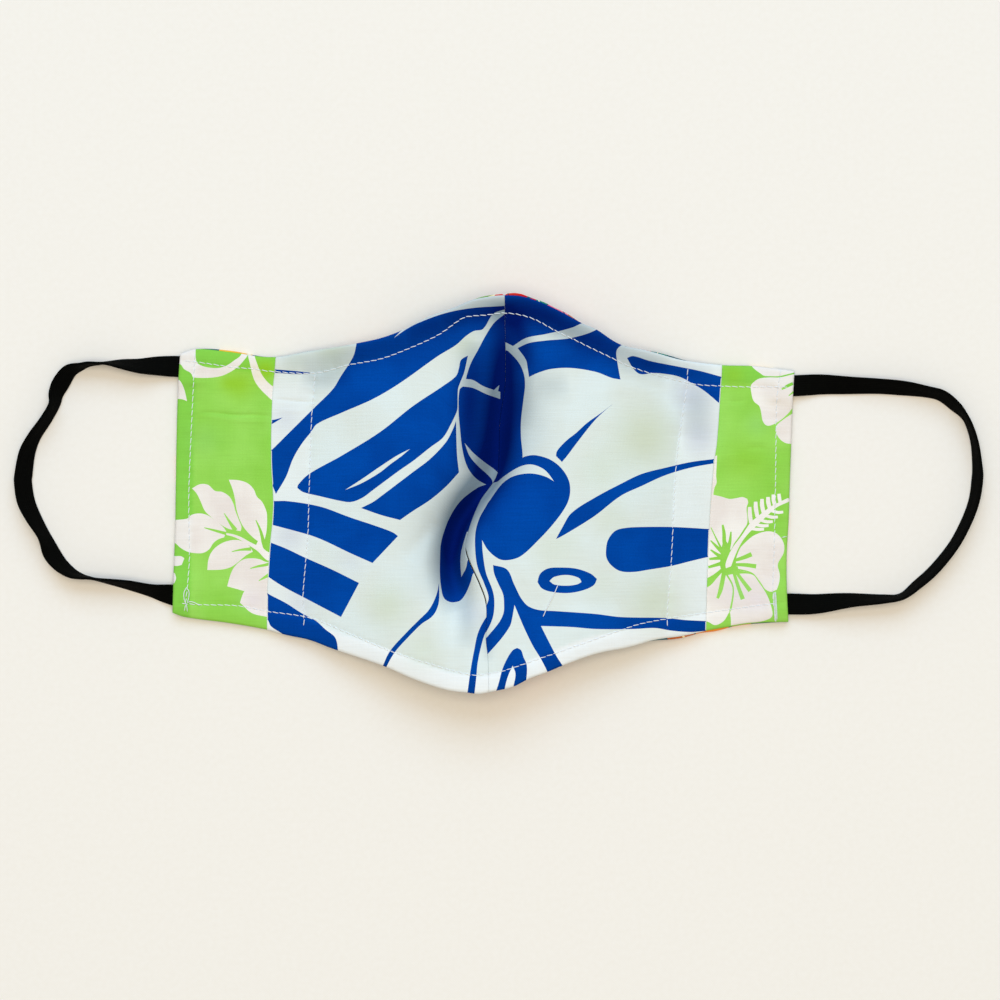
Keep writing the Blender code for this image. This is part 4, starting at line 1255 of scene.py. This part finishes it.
# Shapes of the blue print, and the pale marks inside them, from the nose edge down
LEFT_LINING_BLUE = [
    [(357, 333), (356, 346), (353, 357), (341, 376), (333, 389), (314, 408), (301, 421),
     (287, 435), (274, 448), (262, 460), (262, 484), (272, 484), (276, 494), (286, 477),
     (293, 459), (301, 445), (311, 432), (317, 424), (341, 413), (373, 399), (400, 383),
     (438, 356), (456, 345), (466, 336), (474, 331), (483, 329), (493, 314), (503, 310),
     (514, 308), (514, 305), (503, 306), (473, 308), (446, 313), (418, 323), (405, 330),
     (394, 338), (404, 327.5), (402, 318), (380, 326)],
    [(264, 369), (275, 369.5), (300, 371.5), (313, 373), (300, 374.2), (275, 373), (264, 373)],
    [(264, 419), (272, 420), (283, 417.5), (272, 424), (264, 426)],
    [(468, 355.5), (461, 360), (459, 368), (456, 376), (443, 386), (413, 406), (380, 432),
     (341, 456), (309, 474), (298, 485), (297.5, 488), (303, 492), (319, 496), (341, 501),
     (351, 502), (362, 498), (373, 490), (400, 470), (413, 461), (430, 447.5), (443, 437.5),
     (451, 424), (457, 411), (457.6, 406), (458, 389.5), (460, 383), (464, 373)],
    [(456, 421), (453, 429), (446, 442), (430, 459), (413, 472), (380, 497), (373, 502),
     (361, 508), (381, 515), (400, 520), (413, 511), (430, 500), (446, 486.5), (459, 472.4),
     (457, 454)],
    [(503.5, 315), (494, 323), (486, 335), (478, 350), (471, 363), (467, 374.5), (466, 379),
     (473, 380), (483, 386), (494, 390), (499.4, 385), (498, 391), (514, 398), (514, 308)],
    [(459.6, 389.5), (463, 386.5), (473, 388), (486, 394), (499, 398.6), (512, 404), (510, 485),
     (492, 486), (483, 483), (474, 476.5), (467, 466), (462.5, 450), (460, 429), (458.5, 409)],
    [(499, 480), (483, 485.5), (478, 487.5), (466, 496), (458, 504), (451, 515), (446, 526),
     (441, 543), (440, 560), (440, 576), (441.4, 589), (444, 598), (450, 602), (456, 602),
     (461, 600), (466, 593), (471, 581), (473, 574), (480, 566), (480, 540), (488, 510)],
    [(439, 583), (437, 593), (433, 603), (428, 611), (420, 619), (406.5, 632.5), (390, 651),
     (382.5, 666.5), (376, 680), (380, 682), (386.6, 666.5), (395, 652), (406.5, 639),
     (421.5, 624), (431, 617.5), (436, 611), (439, 601)],
    [(485, 619), (478, 633), (474, 651), (470.6, 670), (467.4, 693), (465, 708), (472, 708),
     (474.5, 693), (476.4, 676.5), (477.5, 664), (481, 647), (485.3, 633), (494, 618),
     (494, 608)],
    [(262, 500), (273.6, 501), (286, 501), (308, 504), (325, 508), (349, 517), (373, 525),
     (392, 532), (398, 536), (372.5, 563), (349, 552.5), (325, 541), (309.5, 535),
     (273, 525), (262, 522)],
    [(260, 538), (269.6, 542), (286, 548.5), (306, 558), (333, 570), (359, 583), (341, 617),
     (322, 607), (303, 597), (286, 588), (273, 580), (260, 570)],
    [(258, 586), (267, 593), (286, 603), (301.5, 613), (316, 621), (325, 629), (336, 639),
     (338, 662), (309, 654), (288, 648), (284, 636), (281, 633), (271, 626), (267.7, 619.5),
     (258, 612)],
    [(500.4, 389), (500.2, 398), (500.6, 407), (514, 407), (514, 389)],
]
LEFT_LINING_PALE = [
    [(345, 490), (362, 479), (380, 466.6), (396.6, 455.8), (410, 448.8), (401.6, 456),
     (390, 464.5), (380, 472.4), (362, 483)],
    [(464.6, 443), (473, 452.5), (483, 461), (494, 469), (499, 473), (510, 476), (510, 484),
     (493, 486), (492, 480), (488, 475), (478, 466), (469.6, 456)],
    [(466.8, 532), (463.4, 543), (461, 553), (460.4, 563), (461.3, 577), (466, 568),
     (468, 559.5), (474, 552), (474, 530)],
]
RIGHT_LINING_BLUE = [
    [(494, 285), (560, 285), (594, 317), (582, 323), (571, 328), (546, 334), (526, 338),
     (513, 346), (505, 342), (494, 336)],
    [(517.6, 348), (529, 343), (546, 340.5), (571, 338), (595.6, 330), (606, 319), (638, 334),
     (621.5, 345), (616.5, 351), (617.5, 363), (620.5, 379.5), (612, 378), (596, 372),
     (571, 368), (551, 369), (537.5, 373), (529, 377), (527.6, 368), (526, 360)],
    [(494, 343), (505, 350), (508, 351), (519, 363), (524, 374.5), (525, 386), (523.5, 399),
     (521, 421), (521, 437.5), (522.6, 456), (521, 463), (513, 471), (499, 481), (486, 484),
     (486, 400), (494, 385)],
    [(515, 465), (522, 458), (529, 455.5), (537.5, 455.5), (551, 460), (562, 469), (569, 481),
     (570, 494), (566, 506), (554, 523), (537.5, 541), (521, 556), (509, 560), (499, 559),
     (488, 550), (482, 540), (482.8, 553), (486, 572.8), (492.8, 591), (494.4, 602.6),
     (492.8, 617.5), (486, 632.5), (478, 644), (478, 608), (486, 607), (488.6, 597.6),
     (484.5, 584.4), (477.8, 567.8), (475.4, 553), (475.4, 533), (479.5, 518), (487.8, 503),
     (494, 488), (499, 481)],
    [(614, 403), (601, 413), (587, 423), (576, 433), (566, 441), (557, 451), (556, 456),
     (562, 462), (567, 456), (576, 444), (586, 431), (596, 419), (605.5, 410)],
    [(556, 539), (562, 528), (571.5, 513), (596, 497), (620.5, 484), (641.5, 474),
     (666, 467.6), (691, 462), (714, 459), (724, 457.5), (724, 462), (714, 463.4),
     (691, 467.6), (666, 475), (641.5, 486), (620.5, 496), (596, 515), (579, 526),
     (561, 536.6)],
    [(606, 550), (608, 540), (615, 531), (625, 528), (641.5, 527), (673, 527), (709.5, 529),
     (720, 529.5), (720, 555), (708, 557), (691, 561), (671, 566), (650, 569.5), (633, 572),
     (620, 571), (611, 565), (606.6, 558)],
    [(537.5, 582), (540, 574), (547.5, 568.6), (559, 567.5), (576, 568.6), (590.6, 573.6),
     (597, 579), (594, 585), (584, 590), (569, 593), (552.5, 592), (542, 588.5)],
    [(493, 565), (507, 569.5), (514, 584), (521, 598), (528, 606), (539, 610), (554, 611),
     (596, 614), (620.5, 617), (666, 618), (686, 620), (706, 621), (716, 622), (716, 632),
     (706, 631), (690, 632), (671, 630.5), (655, 628), (633, 629), (596, 629), (571, 627),
     (541, 626), (549, 642), (557, 657), (563, 666.5), (568, 678), (553, 686), (547.5, 672),
     (541, 659), (533, 646), (524, 627.5), (514.5, 605), (512, 619), (510, 626), (501, 639),
     (486, 656), (479, 664), (479, 647), (488, 636), (499, 622.5), (503.5, 613), (504, 603),
     (503, 594), (498, 583), (494, 573)],
    [(494, 703), (496, 692), (499, 682), (502.5, 669), (508, 657), (513, 650), (517, 648),
     (521, 650), (523.5, 657), (526.5, 664), (527, 671), (526, 683), (525, 697), (513, 702)],
    [(627, 358), (633, 356), (650, 361), (675, 366), (699.5, 371), (722, 377), (732, 379),
     (732, 408), (719, 403), (713, 398), (703, 390), (693, 384), (680, 377), (666, 374),
     (653, 373), (640, 374), (633, 368)],
]
RIGHT_LINING_PALE = [
    [(490, 491), (499, 480.5), (508, 473.5), (519, 467), (529, 464.4), (537.5, 466), (546, 471),
     (554, 481.3), (546, 476.8), (534, 473.7), (523, 473.9), (512, 476.8), (504, 482),
     (498.5, 488), (493.5, 495), (488, 503)],
    [(549.5, 581), (554, 577), (567, 575), (579, 578), (581.5, 582), (577, 584.4),
     (566, 585.7), (554, 584.4)],
    [(504, 703), (504.4, 691), (507.7, 677), (512.7, 665.6), (515.5, 674), (513.5, 687),
     (513, 703)],
]

lining_cottons = [
    cotton("lining_cotton_pale", *LINING_GROUND, slub_depth=0.03, under=GROUND_UNDER_AND_SHADE),
    cotton("lining_cotton_blue", *LINING_BLUE, slub_depth=0.08, speck_depth=0.14, under=BLUE_UNDER_AND_SHADE),
]
stitch_lines["left hem"] = drawn(LEFT_HEM_STITCHES)
stitch_lines["right hem"] = drawn(RIGHT_HEM_STITCHES)
for side, hem, away, blue, pale in (
    ("left", left_hem, 1, LEFT_LINING_BLUE, LEFT_LINING_PALE),
    ("right", right_hem, -1, RIGHT_LINING_BLUE, RIGHT_LINING_PALE),
):
    seam = seam_side(away)
    outline = panel_outline(seam, hem)
    shapes = [drawn(shape, closed=True) for shape in blue + pale]
    rows = [stitch_lines["nose"], stitch_lines["chin"], stitch_lines[f"{side} hem"]]
    places, faces, printed = cut(outline, shapes, rows + fold_lines)
    slots = np.array([1] * len(blue) + [0] * len(pale) + [0])[printed]
    height = inner_face.height(places)
    from_hem = distance(places, hem)
    from_nose, from_chin = distance(places, nose_edge), distance(places, chin_edge)
    slots[from_hem[faces].max(axis=1) < HEM_WORN] = 0
    hemmed = 1 - ease((from_hem - HEM_WIDTH + HEM_FADE / 2) / HEM_FADE)
    top = height + HEM_RISE * hemmed * (1 - HEM_TAPER * from_hem / HEM_WIDTH)
    stretch = inner_face.read(inner_face.stretch, places)
    bottom = height - CLOTH_THICKNESS * stretch
    bottom = np.maximum(bottom, outer_face.height(places) + LEAST_CLOTH)
    over_band = 1 - ease((from_hem - HEM_OVERLAP) / HEM_FADE * 2)
    bottom += (height - HEM_DIP + LEAST_CLOTH - bottom) * over_band
    rippled = LINING_RIPPLE * ripples(places, LINING_RIPPLE_LENGTH, LINING_RIPPLE_SEED)
    relief = pressed_edge(places, [nose_edge, chin_edge], rows) + (rippled + folded(places))
    relief -= drawn_in(places, rows)
    top += relief - rolled(from_hem, HEM_EDGE) - rolled(distance(places, seam), SEAM_EDGE)
    top -= rolled(np.minimum(from_nose, from_chin), TURNED_EDGE)
    top = np.maximum(top, bottom + LEAST_CLOTH)
    name = f"lining_{side}_cloth"
    piece, area = sewn(name, places, faces, slots, top, bottom, inner_face, lining_cottons)
    double = HEM_DOUBLE * hemmed
    for from_edge, share in ((from_chin, CHIN_DOUBLE), (from_nose, NOSE_DOUBLE)):
        double = np.maximum(double, share * turned_under(from_edge))
    marked(piece, "below_and_painted_shade", shown_below_and_painted_shade(places, double))
    laid(piece, outline, f"lining_{side}")


# The topstitching is white polyester thread, about twelve stitches to the inch. One row goes all
# the way round through every layer, so it shows underneath too, and a row down each side holds
# the lining's hem.
THREAD_RADIUS = 0.13 * MM
THREAD_SIDES = 7
THREAD_END = 0.35
THREAD_SHADE = (214, 224, 236)
THREAD_LIGHT = (246, 248, 250)
THREAD_ROUGHNESS = 0.55
STRAND_SIZE = 0.4 * MM
STRAND_RELIEF = 0.05 * MM
STRAND_STRENGTH = 0.6
FIRST_STITCH = 0.5 * MM
STITCH_POINTS = 6
STITCH_SHARE = 0.97
STITCH_SLANT = 0.11
STITCH_ARCH = 1.9
STITCH_FLATNESS = 0.3
STITCH_SINK = 0.9
UNDER_ARCH = 1.1


def cloth_tree(*kinds):
    """A tree of some pieces of cloth on both sides, to lay threads on."""
    points, faces = [], []
    for side in ("left", "right"):
        for kind in kinds:
            mesh = bpy.data.objects[f"{kind}_{side}_cloth"].data
            faces += [[k + len(points) for k in face.vertices] for face in mesh.polygons]
            points += [vertex.co.copy() for vertex in mesh.vertices]
    return BVHTree.FromPolygons(points, faces)


inner_cloth, outer_cloth = cloth_tree("lining", "side_band"), cloth_tree("outer")


def lying(place, cloth=inner_cloth, way=-1):
    """Height of the cloth under a place, or over it where the way is up."""
    hit = cloth.ray_cast((*place, -way * FROM_ABOVE), Vector((0, 0, way)))[0]
    return hit.z if hit else 0.0


def tube(points):
    """Points and faces of a thread along a line, narrower at its ends."""
    ahead = unit(np.gradient(points, axis=0))
    aside = unit(np.cross(ahead, [0.0, 0.0, 1.0]))
    upward = np.cross(aside, ahead)
    widths = np.full((len(points), 1), THREAD_RADIUS)
    widths[[0, -1]] *= THREAD_END
    rings = []
    for k in range(THREAD_SIDES):
        angle = 2 * math.pi * k / THREAD_SIDES
        rings.append(points + (aside * math.cos(angle) + upward * math.sin(angle)) * widths)
    return np.stack(rings, axis=1).reshape(-1, 3), tube_faces(len(points), THREAD_SIDES)


def polyester():
    """White sewing thread with a slight lustre, twisted from finer strands."""
    material, shader, place = new_finish("white_thread", "ShaderNodeTexCoord", "Object")
    strands = {"Vector": place, "Scale": 1 / STRAND_SIZE, "Detail": 1.0}
    noise = place.node("ShaderNodeTexNoise", {}, strands)
    blended(place, linear(*THREAD_SHADE), linear(*THREAD_LIGHT), noise).feed(shader, "Base Color")
    (noise * STRAND_RELIEF).emboss(shader, STRAND_STRENGTH)
    shader.inputs["Roughness"].default_value = THREAD_ROUGHNESS
    return material


white_thread = polyester()


def threads_piece(name, runs):
    """One piece made of several runs of thread."""
    points, faces = [], []
    for run in runs:
        rings, sides = tube(run)
        faces += [tuple(k + len(points) for k in face) for face in sides]
        points += rings.tolist()
    piece = new_piece(name, points, faces, [white_thread])
    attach(piece, "root")


def stitches(line, cloth=inner_cloth, way=-1, arch=STITCH_ARCH):
    """The stitches of one row, each slanting a little and arching off the cloth."""
    lengths = np.concatenate([[0], np.cumsum(np.hypot(*np.diff(line, axis=0).T))])
    aside = moved(line, STITCH_PITCH * STITCH_SLANT) - line
    runs = []
    for start in np.arange(FIRST_STITCH, lengths[-1] - STITCH_PITCH, STITCH_PITCH):
        share = np.linspace(0, 1, STITCH_POINTS)
        at = start + share * STITCH_PITCH * STITCH_SHARE
        places = np.column_stack([np.interp(at, lengths, line[:, k]) for k in (0, 1)])
        slant = np.column_stack([np.interp(at, lengths, aside[:, k]) for k in (0, 1)])
        places += slant * (share - 0.5)[:, None]
        off = THREAD_RADIUS * (arch * np.sin(math.pi * share) ** STITCH_FLATNESS - STITCH_SINK)
        heights = np.array([lying(place, cloth, way) for place in places]) - way * off
        runs.append(np.column_stack([places, heights]))
    return runs


for name, line in stitch_lines.items():
    runs = stitches(line)
    if "hem" not in name:
        runs += stitches(line, outer_cloth, 1, UNDER_ARCH)
    threads_piece(f"topstitching_{name.replace(' ', '_')}", runs)


# A cut end of thread lies loose on the lining, and the row down the left side ends in a small
# tangle. The right one is tacked at its lower end, and a short end shows farther up.
LOOSE_THREAD = [(558, 585), (554, 594), (550, 602), (546, 610), (543, 617)]
LOOSE_LIFT = 0.25 * MM
TANGLE = [
    (187.5, 612), (186.8, 606), (184.6, 600), (184.2, 593), (186.5, 587.5), (189, 591),
    (189, 597), (187.4, 602.7), (189, 601.9), (191.5, 601.6), (195.5, 603), (199.7, 605.7),
]
TANGLE_LIFT = 0.35 * MM
TACK = [
    (773.2, 592), (774.2, 606), (775, 620.5), (776, 621.5), (775.4, 606), (774.4, 592.5),
    (775.4, 592), (776.4, 606), (777, 620),
]
CUT_END = [(781.5, 537.5), (784.5, 536.8), (787, 536.6)]
TACK_LIFT = 0.15 * MM

for name, pixels, lift in (
    ("loose_thread", LOOSE_THREAD, LOOSE_LIFT),
    ("tangle_left", TANGLE, TANGLE_LIFT),
    ("tack_right", TACK, TACK_LIFT),
    ("cut_end_right", CUT_END, TACK_LIFT),
):
    places = drawn(pixels)
    heights = np.array([lying(place) for place in places])
    heights += THREAD_RADIUS + lift * np.sin(np.linspace(0, math.pi, len(places)))
    threads_piece(name, [np.column_stack([places, heights])])


# The mask lies on a sheet of plain pale canvas, in the warm light of a lamp overhead and the
# cooler light of a window beyond the top of the photograph.
FLOOR_SIZE = 3.0
FLOOR_COLOUR = (244, 242, 238)
FLOOR_DARKER = (240, 237, 231)
CANVAS_PITCH = 0.75 * MM
CANVAS_SLUB = 1.6 * MM
CANVAS_THREADS = 0.35
FLOOR_ROUGHNESS = 0.95
FLOOR_GLOSS = 0.1
# Each light: width and depth, where it is, colour, power
LIGHTS = {
    "window": ((3.2, 2.0), (0.0, 2.2, 2.2), (0.42, 0.69, 1.0), 58.0),
    "lamp": ((1.2, 1.2), (0.0, 0.0, 2.0), (1.0, 0.88, 0.70), 22.0),
}
ROOM_COLOUR = (0.38, 0.345, 0.295)

floor_finish, floor_shader, floor_place = new_finish(
    "pale_floor", "ShaderNodeTexCoord", "Object"
)
canvas_warp, canvas_weft = (
    floor_place.maths("SINE", way * (2 * math.pi / CANVAS_PITCH))
    for way in floor_place.parts()[:2]
)
slubs = {"Vector": floor_place, "Scale": 1 / CANVAS_SLUB, "Detail": 2.0}
canvas = floor_place.node("ShaderNodeTexNoise", {}, slubs)
canvas = canvas + canvas_warp * canvas_weft * CANVAS_THREADS
weave = blended(floor_place, linear(*FLOOR_DARKER), linear(*FLOOR_COLOUR), canvas)
weave.feed(floor_shader, "Base Color")
floor_shader.inputs["Roughness"].default_value = FLOOR_ROUGHNESS
floor_shader.inputs["Specular IOR Level"].default_value = FLOOR_GLOSS
half = FLOOR_SIZE / 2
floor_corners = [(-half, -half, 0), (half, -half, 0), (half, half, 0), (-half, half, 0)]
floor_piece = new_piece("floor", floor_corners, [(0, 1, 2, 3)], [floor_finish])

for name, (size, place, colour, power) in LIGHTS.items():
    light = bpy.data.lights.new(name, "AREA")
    light.shape = "RECTANGLE"
    light.size, light.size_y = size
    light.energy = power
    light.color = colour
    light_stand = bpy.data.objects.new(name, light)
    light_stand.location = place
    light_stand.rotation_euler = (-Vector(place)).to_track_quat("-Z", "Y").to_euler()
    bpy.context.scene.collection.objects.link(light_stand)

room = bpy.data.worlds.new("room")
room.use_nodes = True
room.node_tree.nodes["Background"].inputs["Color"].default_value = (*ROOM_COLOUR, 1.0)
room.node_tree.nodes["Background"].inputs["Strength"].default_value = 1.0
bpy.context.scene.world = room
bpy.context.scene.view_settings.view_transform = "Standard"
